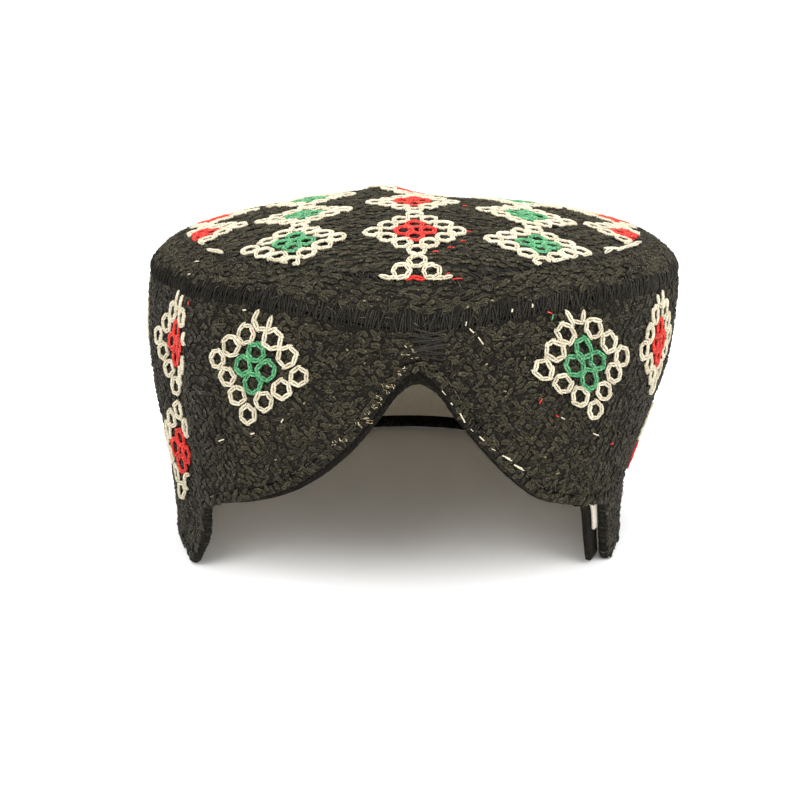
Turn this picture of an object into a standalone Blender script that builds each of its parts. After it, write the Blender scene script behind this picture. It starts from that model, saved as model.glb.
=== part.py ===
# A stitched cotton cap with a cut-out over the brow: a low domed crown sewn to a soft upright band.
# Metres, +Z up, the brow faces -Y. The origin is on the floor under the middle of the cap.
# An azimuth is measured round the cap from the brow, positive towards +X.
import math

import bmesh
import bpy
import numpy as np

# driving dimensions
CROWN_RADIUS = 0.0900
SEAM_HEIGHT = 0.0943
SEAM_DIP = 0.0066
SEAM_DIP_SPREAD = 22.0
DISC_RADIUS = 0.0800
DISC_SHARES = (1.0, 0.97, 0.88, 0.72, 0.54, 0.36, 0.20, 0.08, 0.0)
DOME_RISE = 0.0123
DOME_POWER = 2.0
SHOULDER_RISE = 0.0090
SHOULDER_START = 0.0760
SHOULDER_POWER = 1.45
RING_LIP = 0.0010
SEAM_TUCK = 0.0008
CLOTH = 0.0025
LINING_CLOTH = 0.0012
CROWN_LINING_EASE = 0.0007
GAP = 0.0003
LINING_EASE = 0.0006
HEM_WIDTH = 0.0034
HEM_HEIGHT = 0.0030
HEM_CORNER = 0.0009
LINING_ABOVE_RIM = 0.0065
LINING_BELOW_SEAM = 0.0045
LINING_CLEAR_TURNS = (-6.0, -3.0, 0.0, 3.0, 6.0)
SAG_START = 0.0722
PLAN_POWER = 2.05
UNROLL_RADIUS = 0.0890
JOIN_HALF_WIDTH = 0.0044
JOIN_LOW = 0.0802
JOIN_HIGH = 0.0900
JOIN_THICKNESS = 0.0012
JOIN_WAIST = 0.22
FINE_STEP = 1.7
COARSE_STEP = 4.4
FINE_REACH = 58.0
BAND_END_GAP = 0.12
NORMAL_STEP = 0.5

# half-widths of the wall in plan, in millimetres, at heights above the floor
WALL_SECTIONS = (
    ("height", "left", "right", "front", "back"),
    (0.0, 86.0, 75.8, 90.8, 91.0),
    (20.0, 86.2, 76.2, 91.0, 91.0),
    (36.0, 87.4, 80.2, 91.0, 91.0),
    (52.0, 89.6, 85.3, 90.8, 90.8),
    (68.0, 90.7, 89.4, 90.3, 90.6),
    (86.0, 90.1, 90.4, 90.0, 90.2),
    (95.0, 88.8, 89.6, 89.8, 89.7),
    (112.0, 88.2, 89.2, 89.7, 89.5),
)

# height of the cut edge above the floor, in millimetres, at azimuths from the brow
RIM_EDGE = (
    ("azimuth", "left", "right"),
    (0.0, 76.0, 76.0),
    (3.0, 73.0, 73.0),
    (7.0, 64.4, 63.6),
    (12.0, 54.6, 53.4),
    (18.0, 45.8, 43.2),
    (25.0, 38.4, 34.8),
    (34.0, 32.1, 29.4),
    (42.0, 27.4, 25.6),
    (46.0, 23.5, 23.6),
    (50.0, 9.0, 9.0),
    (53.5, 1.6, 0.0),
    (55.5, 0.0, 0.0),
    (181.0, 0.0, 0.0),
)

# soft folds of the wall: width in degrees, depth in millimetres, and the share left at the seam
FOLDS = (
    ("azimuth", "width", "depth", "share_at_seam"),
    (-46.5, 4.0, 2.2, 0.6),
    (-56.0, 5.5, -3.0, 0.3),
    (-76.0, 9.0, 0.8, 0.0),
    (49.0, 5.0, 1.0, 0.2),
    (97.0, 13.0, -1.0, 0.0),
    (138.0, 12.0, 0.9, 0.0),
    (176.0, 13.0, -1.1, 0.1),
    (-136.0, 12.0, 1.0, 0.0),
    (-104.0, 11.0, -0.9, 0.0),
)
FOLD_FLOOR_SHARE = 0.3

# the left tail flares out towards its tip
TAIL_FLARE = 0.0028
TAIL_FLARE_AZIMUTH = -53.0
TAIL_FLARE_WIDTH = 6.0
TAIL_FLARE_TOP = 0.018

# soft dents and swells of the crown, in millimetres
CROWN_SWELLS = (
    ("x", "y", "reach", "height"),
    (-10.0, 12.0, 9.5, 2.2),
    (12.0, 16.0, 20.0, -2.1),
    (34.0, 24.0, 20.0, -1.3),
    (-48.0, 20.0, 18.0, -0.3),
    (16.0, 44.0, 24.0, -1.5),
    (34.0, 40.0, 18.0, -0.7),
    (-38.0, -22.0, 14.0, -0.5),
    (20.0, -36.0, 14.0, 0.4),
)

COLOURS = {
    "crown_top": (0.022, 0.020, 0.017),
    "crown_ring": (0.022, 0.020, 0.017),
    "band": (0.024, 0.022, 0.019),
    "front_join": (0.018, 0.017, 0.016),
    "rim_hem": (0.018, 0.017, 0.015),
    "lining": (0.62, 0.55, 0.44),
}


def column(table, name):
    place = table[0].index(name)
    return np.array([row[place] for row in table[1:]])


def smooth_value(table, name, at):
    """A curve through one column of a table that never overshoots its rows."""
    x = column(table, table[0][0])
    y = column(table, name)
    steps = np.diff(x)
    slopes = np.diff(y) / steps
    tangents = np.zeros_like(y)
    for i in range(1, len(y) - 1):
        if slopes[i - 1] * slopes[i] > 0:
            tangents[i] = 2 / (1 / slopes[i - 1] + 1 / slopes[i])
    at = min(max(at, x[0]), x[-1])
    i = min(int(np.searchsorted(x, at, side="right")) - 1, len(steps) - 1)
    t = (at - x[i]) / steps[i]
    start = y[i] * (2 * t**3 - 3 * t**2 + 1) + tangents[i] * steps[i] * (t**3 - 2 * t**2 + t)
    end = y[i + 1] * (3 * t**2 - 2 * t**3) + tangents[i + 1] * steps[i] * (t**3 - t**2)
    return float(start + end)


def smoothstep(low, high, value):
    t = min(max((value - low) / (high - low), 0.0), 1.0)
    return t * t * (3 - 2 * t)


def turn_between(a, b):
    """Degrees from b to a, the short way round."""
    return (a - b + 180.0) % 360.0 - 180.0


def seam_dip(azimuth):
    return SEAM_DIP * math.exp(-((turn_between(azimuth, 0.0) / SEAM_DIP_SPREAD) ** 2))


def seam_height(azimuth):
    return SEAM_HEIGHT - seam_dip(azimuth)


def rim_height(azimuth):
    azimuth = turn_between(azimuth, 0.0)
    side = "left" if azimuth < 0 else "right"
    return smooth_value(RIM_EDGE, side, abs(azimuth)) / 1000


def fold_depth(azimuth, height):
    """How far the folds push the wall out at this place."""
    rise = smoothstep(0.0, 0.035, height)
    low_share = FOLD_FLOOR_SHARE + (1 - FOLD_FLOOR_SHARE) * rise
    near_seam = smoothstep(0.045, SEAM_HEIGHT, height)
    total = 0.0
    for centre, width, depth, share in FOLDS[1:]:
        bump = math.exp(-((turn_between(azimuth, centre) / width) ** 2))
        total += depth / 1000 * bump * (1 + (share - 1) * near_seam)
    near_tail = math.exp(-((turn_between(azimuth, TAIL_FLARE_AZIMUTH) / TAIL_FLARE_WIDTH) ** 2))
    flare = TAIL_FLARE * near_tail * (1 - smoothstep(0.0, TAIL_FLARE_TOP, height))
    return total * low_share + flare


def plan_radius(azimuth, height):
    """The wall's distance from the cap's axis, without its folds."""
    turn = math.radians(azimuth)
    side = "left" if math.sin(turn) < 0 else "right"
    end = "front" if math.cos(turn) > 0 else "back"
    across = smooth_value(WALL_SECTIONS, side, height * 1000) / 1000
    along = smooth_value(WALL_SECTIONS, end, height * 1000) / 1000
    power = (abs(math.sin(turn)) / across) ** PLAN_POWER + (abs(math.cos(turn)) / along) ** PLAN_POWER
    return power ** (-1 / PLAN_POWER)


def around(azimuth, radius, height):
    turn = math.radians(azimuth)
    return (radius * math.sin(turn), -radius * math.cos(turn), height)


def wall_face(azimuth, height):
    return around(azimuth, plan_radius(azimuth, height) + fold_depth(azimuth, height), height)


def wall_point(azimuth, height, inset=0.0):
    """A point of the band's outer face, or one that lies inset from it, level and square to the folds."""
    x, y, z = wall_face(azimuth, height)
    before = wall_face(azimuth - NORMAL_STEP, height)
    after = wall_face(azimuth + NORMAL_STEP, height)
    length = math.hypot(after[0] - before[0], after[1] - before[1])
    out_x = (after[1] - before[1]) / length
    out_y = -(after[0] - before[0]) / length
    return (x - out_x * inset, y - out_y * inset, z)


def crown_rise(radius):
    """Height above the seam of the crown's outer face, at a radius of the round crown."""
    edge = shoulder_rise(DISC_RADIUS)
    if radius > DISC_RADIUS + RING_LIP:
        return shoulder_rise(radius)
    if radius > DISC_RADIUS:
        return edge - DOME_RISE * DOME_POWER * (radius / DISC_RADIUS - 1)
    return edge + DOME_RISE * (1 - (radius / DISC_RADIUS) ** DOME_POWER)


def shoulder_rise(radius):
    out = min(max((radius - SHOULDER_START) / (CROWN_RADIUS - SHOULDER_START), 0.0), 1.0)
    return SHOULDER_RISE * (1 - out**SHOULDER_POWER) ** (1 / SHOULDER_POWER)


def crown_point(azimuth, radius, inset=0.0, drop=0.0):
    """A point of the crown's outer face, which sags with the seam over the brow."""
    scale = plan_radius(azimuth, seam_height(azimuth)) / CROWN_RADIUS
    fold = fold_depth(azimuth, seam_height(azimuth)) * smoothstep(DISC_RADIUS, CROWN_RADIUS, radius)
    sag = seam_dip(azimuth) * smoothstep(SAG_START, CROWN_RADIUS, radius)
    x, y, height = around(azimuth, radius * scale + fold - inset, SEAM_HEIGHT + crown_rise(radius))
    return (x, y, height + crown_swell(x, y) - sag - drop)


def crown_swell(x, y):
    total = 0.0
    for swell_x, swell_y, reach, height in CROWN_SWELLS[1:]:
        distance = math.hypot(1000 * x - swell_x, 1000 * y - swell_y)
        total += height / 1000 * math.exp(-((distance / reach) ** 2))
    return total


def azimuths(start, stop):
    """Columns round the cap, close together over the brow and tails and wider round the back."""
    places = [start]
    while places[-1] < stop:
        near = abs(turn_between(places[-1], 0.0)) < FINE_REACH
        places.append(places[-1] + (FINE_STEP if near else COARSE_STEP))
    last = places[-1]
    return [start + (place - start) * (stop - start) / (last - start) for place in places]


def rim_frame(azimuth):
    """In the unrolled wall, the direction from the cut edge into the cloth, as (round, up)."""
    step = 1.2
    along = 2 * math.radians(step) * UNROLL_RADIUS
    rise = rim_height(azimuth + step) - rim_height(azimuth - step)
    length = math.hypot(along, rise)
    return -rise / length, along / length


def above_rim(azimuth, distance):
    """(azimuth, height) of a place in the cloth at this distance from its cut edge."""
    round_part, up_part = rim_frame(azimuth)
    turn = math.degrees(round_part * distance / UNROLL_RADIUS)
    return azimuth + turn, rim_height(azimuth) + up_part * distance


def add_object(name, mesh, collection):
    colour = COLOURS[name]
    material = bpy.data.materials.new(name)
    material.use_nodes = True
    shader = material.node_tree.nodes["Principled BSDF"]
    shader.inputs["Base Color"].default_value = (*colour, 1.0)
    shader.inputs["Roughness"].default_value = 0.9
    shader.inputs["Metallic"].default_value = 0.0
    mesh.materials.append(material)
    mesh.shade_smooth()
    mesh.set_sharp_from_angle(angle=math.radians(50))
    made = bpy.data.objects.new(name, mesh)
    collection.objects.link(made)
    return made


def mapped_sheet(name, columns, rows, place, collection):
    """A grid of columns by rows faces whose points are set by place(column, row)."""
    sheet = bmesh.new()
    bmesh.ops.create_grid(sheet, x_segments=columns, y_segments=rows, size=0.5)
    for vertex in sheet.verts:
        i = round((vertex.co.x + 0.5) * columns)
        j = round((vertex.co.y + 0.5) * rows)
        vertex.co = place(i, j)
    bmesh.ops.remove_doubles(sheet, verts=sheet.verts, dist=1e-6)
    mesh = bpy.data.meshes.new(name)
    sheet.to_mesh(mesh)
    sheet.free()
    return add_object(name, mesh, collection)


def give_thickness(sheet, thickness):
    """Cloth thickness, grown inwards from the outer face."""
    solidify = sheet.modifiers.new("cloth", "SOLIDIFY")
    solidify.thickness = thickness
    solidify.offset = -1.0
    solidify.use_even_offset = True
    solidify.use_quality_normals = True


def make_band(collection):
    columns = azimuths(BAND_END_GAP, 360.0 - BAND_END_GAP)
    levels = (0.0, 0.2, 0.4, 0.6, 0.8, 0.95, 1.0)

    def place(i, j):
        low_azimuth, low_height = above_rim(columns[i], HEM_HEIGHT + GAP)
        if i in (0, len(columns) - 1):
            low_azimuth = columns[i]
        share = levels[j]
        azimuth = low_azimuth + (columns[i] - low_azimuth) * share
        height = low_height + (seam_height(columns[i]) - low_height) * share
        tuck = SEAM_TUCK if j == len(levels) - 1 else 0.0
        return wall_point(azimuth, height, tuck)

    band = mapped_sheet("band", len(columns) - 1, len(levels) - 1, place, collection)
    give_thickness(band, CLOTH)


def make_crown_ring(collection):
    count = 72
    radii = (CROWN_RADIUS, 0.0893, 0.0876, 0.0848, DISC_RADIUS + RING_LIP, DISC_RADIUS + GAP)

    def place(i, j):
        azimuth = 360.0 * i / count
        if j == 0:
            return crown_point(azimuth, CROWN_RADIUS, SEAM_TUCK, -GAP)
        return crown_point(azimuth, radii[j])

    ring = mapped_sheet("crown_ring", count, len(radii) - 1, place, collection)
    give_thickness(ring, CLOTH)


def make_crown_top(collection):
    count = 72

    def place(i, j):
        return crown_point(360.0 * i / count, DISC_RADIUS * DISC_SHARES[j])

    disc = mapped_sheet("crown_top", count, len(DISC_SHARES) - 1, place, collection)
    give_thickness(disc, CLOTH)


def lining_edge(azimuth):
    """Height of the lining's lower edge, which stays above the hem and rounds off the steps."""
    highest = max(rim_height(azimuth + turn) for turn in LINING_CLEAR_TURNS)
    return min(highest + LINING_ABOVE_RIM, seam_height(azimuth) - LINING_BELOW_SEAM)


def make_lining(collection):
    count = 64
    inset = CLOTH + GAP + LINING_EASE
    wall_levels = (0.0, 0.17, 0.35, 0.57, 0.8, 1.0)
    radii = (0.0822, 0.0750, 0.0560, 0.0290, 0.0)

    def place(i, j):
        azimuth = 360.0 * i / count
        if j >= len(wall_levels):
            return crown_point(azimuth, radii[j - len(wall_levels)], 0.0, inset + CROWN_LINING_EASE)
        low = lining_edge(azimuth)
        height = low + (seam_height(azimuth) - low) * wall_levels[j]
        fold = min(fold_depth(azimuth + turn, height) for turn in LINING_CLEAR_TURNS)
        return around(azimuth, plan_radius(azimuth, height) + fold - inset, height)

    lining = mapped_sheet("lining", count, len(wall_levels) + len(radii) - 1, place, collection)
    give_thickness(lining, LINING_CLOTH)


def make_rim_hem(collection):
    columns = azimuths(BAND_END_GAP, 360.0 - BAND_END_GAP)
    reach = HEM_WIDTH / 2
    profile = (
        (-reach, HEM_CORNER),
        (-reach + HEM_CORNER, 0.0),
        (reach - HEM_CORNER, 0.0),
        (reach, HEM_CORNER),
        (reach, HEM_HEIGHT - HEM_CORNER),
        (reach - HEM_CORNER, HEM_HEIGHT),
        (-reach + HEM_CORNER, HEM_HEIGHT),
        (-reach, HEM_HEIGHT - HEM_CORNER),
    )

    def place(i, j):
        out, up = profile[j % len(profile)]
        azimuth, height = above_rim(columns[i % len(columns)], up)
        return wall_point(azimuth, height, CLOTH / 2 - out)

    mapped_sheet("rim_hem", len(columns), len(profile), place, collection)


def make_front_join(collection):
    columns = 6
    rows = 5

    def place(i, j):
        across = (2 * i / columns - 1) * JOIN_HALF_WIDTH
        round_off = 1 - JOIN_WAIST * abs(2 * j / rows - 1) ** 3
        azimuth = math.degrees(across * round_off / UNROLL_RADIUS)
        height = JOIN_LOW + (JOIN_HIGH - JOIN_LOW) * j / rows
        return wall_point(azimuth, height, -GAP - JOIN_THICKNESS)

    patch = mapped_sheet("front_join", columns, rows, place, collection)
    give_thickness(patch, JOIN_THICKNESS)


def main():
    for old in list(bpy.data.objects):
        bpy.data.objects.remove(old)
    collection = bpy.data.collections.new("sindhi_cap")
    bpy.context.scene.collection.children.link(collection)
    make_crown_top(collection)
    make_crown_ring(collection)
    make_band(collection)
    make_front_join(collection)
    make_rim_hem(collection)
    make_lining(collection)


main()
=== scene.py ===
# A round stitched cap: black chain stitch all over, diamonds of pale, green and red thread,
# a soft wall cut out in an arch over the brow, and a pale woven lining.
# Metres, +Z up, the brow faces -Y. Azimuths are degrees from the brow, positive towards +X.
import math

import bmesh
import bpy
import numpy as np
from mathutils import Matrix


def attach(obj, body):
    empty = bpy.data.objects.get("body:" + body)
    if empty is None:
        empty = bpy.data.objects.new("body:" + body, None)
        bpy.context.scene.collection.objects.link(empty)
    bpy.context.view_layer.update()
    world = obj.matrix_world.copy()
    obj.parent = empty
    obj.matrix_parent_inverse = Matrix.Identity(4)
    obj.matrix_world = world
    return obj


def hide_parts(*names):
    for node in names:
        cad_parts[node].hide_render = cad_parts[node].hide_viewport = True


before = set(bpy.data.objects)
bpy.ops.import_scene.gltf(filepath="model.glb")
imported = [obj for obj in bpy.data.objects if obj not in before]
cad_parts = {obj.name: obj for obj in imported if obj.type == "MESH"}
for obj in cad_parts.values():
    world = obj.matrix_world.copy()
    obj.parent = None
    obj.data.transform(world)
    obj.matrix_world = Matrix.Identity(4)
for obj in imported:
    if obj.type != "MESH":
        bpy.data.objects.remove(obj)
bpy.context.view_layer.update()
scene = bpy.context.scene
scene.view_settings.view_transform = "Standard"
print("frame loaded")

# the cap's own shape, as its cloth was cut: lengths in metres, the wall's half-widths in millimetres
capShape = {
    "crownRadius": 0.0900,
    "seamHeight": 0.0943,
    "seamDip": 0.0066,
    "seamDipSpread": 22.0,
    "discRadius": 0.0800,
    "domeRise": 0.0123,
    "domePower": 2.0,
    "shoulderRise": 0.0090,
    "shoulderStart": 0.0760,
    "shoulderPower": 1.45,
    "ringLip": 0.0010,
    "sagStart": 0.0722,
    "planPower": 2.05,
    "unrollRadius": 0.0890,
    "middle": (0.0, 0.0, 0.05),
    "foldFloorShare": 0.3,
    "foldFullAt": 0.035,
    "foldEasesFrom": 0.045,
    "tailFlare": {"depth": 0.0028, "azimuth": -53.0, "width": 6.0, "top": 0.018},
    "wallHeights": (0.0, 20.0, 36.0, 52.0, 68.0, 86.0, 95.0, 112.0),
    "wallLeft": (85.0, 85.3, 86.8, 89.2, 90.4, 89.6, 88.2, 87.6),
    "wallRight": (75.3, 75.7, 79.7, 84.9, 89.0, 89.9, 89.0, 88.6),
    "wallFront": (90.4, 90.6, 90.6, 90.4, 89.9, 89.6, 89.4, 89.3),
    "wallBack": (90.6, 90.6, 90.6, 90.4, 90.2, 89.8, 89.2, 89.0),
    "rimAzimuths": (0.0, 3.0, 7.0, 12.0, 18.0, 25.0, 34.0, 42.0, 46.0, 50.0, 53.5, 55.5, 181.0),
    "rimLeft": (76.0, 73.0, 64.4, 54.6, 45.8, 38.4, 32.1, 27.4, 23.5, 9.0, 1.6, 0.0, 0.0),
    "rimRight": (76.0, 73.0, 63.6, 53.4, 43.2, 34.8, 29.4, 25.6, 23.6, 9.0, 0.0, 0.0, 0.0),
    "folds": (  # azimuth, width in degrees, depth in millimetres, share left at the seam
        (-46.5, 4.0, 2.2, 0.6),
        (-56.0, 5.5, -3.0, 0.3),
        (-76.0, 9.0, 0.8, 0.0),
        (49.0, 5.0, 1.0, 0.2),
        (97.0, 13.0, -1.0, 0.0),
        (138.0, 12.0, 0.9, 0.0),
        (176.0, 13.0, -1.1, 0.1),
        (-136.0, 12.0, 1.0, 0.0),
        (-104.0, 11.0, -0.9, 0.0),
    ),
    "swells": (  # x, y, reach and height in millimetres
        (-10.0, 12.0, 9.5, 2.2),
        (12.0, 16.0, 20.0, -2.1),
        (34.0, 24.0, 20.0, -1.3),
        (-48.0, 20.0, 18.0, -0.3),
        (16.0, 44.0, 24.0, -1.5),
        (34.0, 40.0, 18.0, -0.7),
        (-38.0, -22.0, 14.0, -0.5),
        (20.0, -36.0, 14.0, 0.4),
    ),
}


def smoothCurve(stations, values):
    x = np.array(stations, dtype=float)
    y = np.array(values, dtype=float)
    steps = np.diff(x)
    slopes = np.diff(y) / steps
    tangents = np.zeros_like(y)
    for i in range(1, len(y) - 1):
        if slopes[i - 1] * slopes[i] > 0:
            tangents[i] = 2 / (1 / slopes[i - 1] + 1 / slopes[i])

    def read(at):
        at = np.clip(np.asarray(at, dtype=float), x[0], x[-1])
        i = np.clip(np.searchsorted(x, at, side="right") - 1, 0, len(steps) - 1)
        t = (at - x[i]) / steps[i]
        start = y[i] * (2 * t**3 - 3 * t**2 + 1) + tangents[i] * steps[i] * (t**3 - 2 * t**2 + t)
        end = y[i + 1] * (3 * t**2 - 2 * t**3) + tangents[i + 1] * steps[i] * (t**3 - t**2)
        return start + end

    return read


wallReach = {side: smoothCurve(capShape["wallHeights"], capShape["wall" + side])
             for side in ("Left", "Right", "Front", "Back")}
rimLeft = smoothCurve(capShape["rimAzimuths"], capShape["rimLeft"])
rimRight = smoothCurve(capShape["rimAzimuths"], capShape["rimRight"])


def smoothStep(low, high, value):
    t = np.clip((value - low) / (high - low), 0.0, 1.0)
    return t * t * (3 - 2 * t)


def turnBetween(a, b):
    return (a - b + 180.0) % 360.0 - 180.0


def seamDip(azimuth):
    return capShape["seamDip"] * np.exp(-((turnBetween(azimuth, 0.0) / capShape["seamDipSpread"]) ** 2))


def seamHeight(azimuth):
    return capShape["seamHeight"] - seamDip(azimuth)


def rimHeight(azimuth):
    turn = turnBetween(np.asarray(azimuth, dtype=float), 0.0)
    return np.where(turn < 0, rimLeft(abs(turn)), rimRight(abs(turn))) / 1000


def foldDepth(azimuth, height):
    floorShare = capShape["foldFloorShare"]
    lowShare = floorShare + (1 - floorShare) * smoothStep(0.0, capShape["foldFullAt"], height)
    nearSeam = smoothStep(capShape["foldEasesFrom"], capShape["seamHeight"], height)
    total = 0.0
    for centre, width, depth, share in capShape["folds"]:
        bump = np.exp(-((turnBetween(azimuth, centre) / width) ** 2))
        total = total + depth / 1000 * bump * (1 + (share - 1) * nearSeam)
    flare = capShape["tailFlare"]
    nearTail = np.exp(-((turnBetween(azimuth, flare["azimuth"]) / flare["width"]) ** 2))
    return total * lowShare + flare["depth"] * nearTail * (1 - smoothStep(0.0, flare["top"], height))


def planRadius(azimuth, height):
    turn = np.radians(azimuth)
    across = np.where(np.sin(turn) < 0, wallReach["Left"](height * 1000), wallReach["Right"](height * 1000))
    along = np.where(np.cos(turn) > 0, wallReach["Front"](height * 1000), wallReach["Back"](height * 1000))
    power = capShape["planPower"]
    sides = (abs(np.sin(turn)) / across * 1000) ** power + (abs(np.cos(turn)) / along * 1000) ** power
    return sides ** (-1 / power)


def around(azimuth, radius, height):
    turn = np.radians(azimuth)
    return np.stack(np.broadcast_arrays(radius * np.sin(turn), -radius * np.cos(turn), height), axis=-1)


def asArrays(*values):
    return np.broadcast_arrays(*(np.asarray(value, dtype=float) for value in values))


def wallPoint(azimuth, height, inset=0.0):
    azimuth, height, inset = asArrays(azimuth, height, inset)

    def face(at):
        return around(at, planRadius(at, height) + foldDepth(at, height), height)

    span = face(azimuth + 0.5) - face(azimuth - 0.5)
    length = np.hypot(span[..., 0], span[..., 1])
    point = face(azimuth)
    point[..., 0] -= span[..., 1] / length * inset
    point[..., 1] += span[..., 0] / length * inset
    return point


def shoulderRise(radius):
    start = capShape["shoulderStart"]
    out = np.clip((radius - start) / (capShape["crownRadius"] - start), 0.0, 1.0)
    power = capShape["shoulderPower"]
    return capShape["shoulderRise"] * np.clip(1 - out**power, 0.0, 1.0) ** (1 / power)


def crownRise(radius):
    disc = capShape["discRadius"]
    edge = shoulderRise(disc)
    lip = edge - capShape["domeRise"] * capShape["domePower"] * (radius / disc - 1)
    dome = edge + capShape["domeRise"] * (1 - np.clip(radius / disc, 0.0, 1.0) ** capShape["domePower"])
    inner = np.where(radius > disc, lip, dome)
    return np.where(radius > disc + capShape["ringLip"], shoulderRise(radius), inner)


def crownSwell(x, y):
    total = 0.0
    for swellX, swellY, reach, height in capShape["swells"]:
        distance = np.hypot(1000 * x - swellX, 1000 * y - swellY)
        total = total + height / 1000 * np.exp(-((distance / reach) ** 2))
    return total


def crownPoint(azimuth, radius, inset=0.0, drop=0.0):
    azimuth, radius = asArrays(azimuth, radius)
    scale = planRadius(azimuth, seamHeight(azimuth)) / capShape["crownRadius"]
    outer = smoothStep(capShape["discRadius"], capShape["crownRadius"], radius)
    fold = foldDepth(azimuth, seamHeight(azimuth)) * outer
    sag = seamDip(azimuth) * smoothStep(capShape["sagStart"], capShape["crownRadius"], radius)
    point = around(azimuth, radius * scale + fold - inset, capShape["seamHeight"] + crownRise(radius))
    point[..., 2] += crownSwell(point[..., 0], point[..., 1]) - sag - drop
    return point


def crownPlan(x, y):
    azimuth = np.degrees(np.arctan2(x, -y))
    scale = planRadius(azimuth, seamHeight(azimuth)) / capShape["crownRadius"]
    return crownPoint(azimuth, np.hypot(x, y) / scale)


# surfaces that stitches lie on: the call, and a small step in each of its two directions
surfaces = {
    "wall": (wallPoint, 0.12, 0.0002),
    "crown": (crownPlan, 0.0002, 0.0002),
    "border": (crownPoint, 0.12, 0.0002),
}


def onSurface(which, first, second, lift=0.0):
    # places, outward directions and first directions at each spot, lifted off the cloth
    call, firstStep, secondStep = surfaces[which]
    first = np.asarray(first, dtype=float)
    second = np.asarray(second, dtype=float)
    point = call(first, second)
    alongFirst = call(first + firstStep, second) - call(first - firstStep, second)
    alongSecond = call(first, second + secondStep) - call(first, second - secondStep)
    outward = np.cross(alongFirst, alongSecond)
    outward /= np.linalg.norm(outward, axis=-1, keepdims=True)
    facing = np.sum(outward * (point - np.array(capShape["middle"])), axis=-1, keepdims=True)
    outward = np.where(facing < 0, -outward, outward)
    alongFirst /= np.linalg.norm(alongFirst, axis=-1, keepdims=True)
    lift = np.asarray(lift, dtype=float)
    return point + outward * lift[..., None], outward, alongFirst


class Wire:
    # wraps a socket, so that sums on it add Math nodes
    def __init__(self, tree, socket=None):
        self.tree = tree
        self.socket = socket

    def node(self, kind, settings=None, sockets=None, output=0):
        made = self.tree.nodes.new(kind)
        for name, value in (settings or {}).items():
            if name == "stops":
                paintRamp(made.color_ramp, value)
            else:
                setattr(made, name, value)
        for name, value in (sockets or {}).items():
            if isinstance(value, Wire):
                self.tree.links.new(value.socket, made.inputs[name])
            else:
                made.inputs[name].default_value = value
        return Wire(self.tree, made.outputs[output])

    def sum(self, operation, first, second):
        return self.node("ShaderNodeMath", {"operation": operation}, {0: first, 1: second})

    def split(self, vector):
        made = self.tree.nodes.new("ShaderNodeSeparateXYZ")
        self.tree.links.new(vector.socket, made.inputs[0])
        return [Wire(self.tree, output) for output in made.outputs]

    def __add__(self, other):
        return self.sum("ADD", self, other)

    def __radd__(self, other):
        return self.sum("ADD", other, self)

    def __sub__(self, other):
        return self.sum("SUBTRACT", self, other)

    def __rsub__(self, other):
        return self.sum("SUBTRACT", other, self)

    def __mul__(self, other):
        return self.sum("MULTIPLY", self, other)

    def __rmul__(self, other):
        return self.sum("MULTIPLY", other, self)

    def __truediv__(self, other):
        return self.sum("DIVIDE", self, other)


def paintRamp(ramp, stops):
    ramp.elements[0].position = stops[0][0]
    ramp.elements[-1].position = stops[-1][0]
    for place, value in stops[1:-1]:
        ramp.elements.new(place)
    for element, (place, value) in zip(ramp.elements, stops):
        colour = (value, value, value) if isinstance(value, float) else value
        element.color = (*colour, 1.0)


def newMaterial(name, look, sheenRough=0.45):
    material = bpy.data.materials.new(name)
    material.use_nodes = True
    shader = material.node_tree.nodes["Principled BSDF"]
    shader.inputs["Metallic"].default_value = 0.0
    shader.inputs["Specular IOR Level"].default_value = look["specular"]
    shader.inputs["Sheen Weight"].default_value = look["sheen"]
    shader.inputs["Sheen Roughness"].default_value = sheenRough
    shader.inputs["Sheen Tint"].default_value = (*look["sheenTint"], 1.0)
    return material, shader, Wire(material.node_tree)


def feed(shader, name, wire):
    wire.tree.links.new(wire.socket, shader.inputs[name])


def noise(wire, place, scale, detail=2.0, rough=0.5):
    sockets = {"Vector": place, "Scale": scale, "Detail": detail, "Roughness": rough}
    return wire.node("ShaderNodeTexNoise", {}, sockets)


def blend(wire, factor, first, second, mode="MIX"):
    settings = {"data_type": "RGBA", "blend_type": mode, "clamp_factor": True}
    return wire.node("ShaderNodeMix", settings, {0: factor, 6: first, 7: second}, 2)


def solid(colour):
    return (*colour, 1.0)


def sine(wire, turn):
    return wire.node("ShaderNodeMath", {"operation": "SINE"}, {0: turn})


def rampNode(wire, factor, *stops):
    return wire.node("ShaderNodeValToRGB", {"stops": stops}, {"Fac": factor})


def feedBump(wire, shader, look, height):
    sockets = {"Strength": look["relief"], "Distance": look["reliefDepth"], "Height": height}
    feed(shader, "Normal", wire.node("ShaderNodeBump", {}, sockets))


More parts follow.
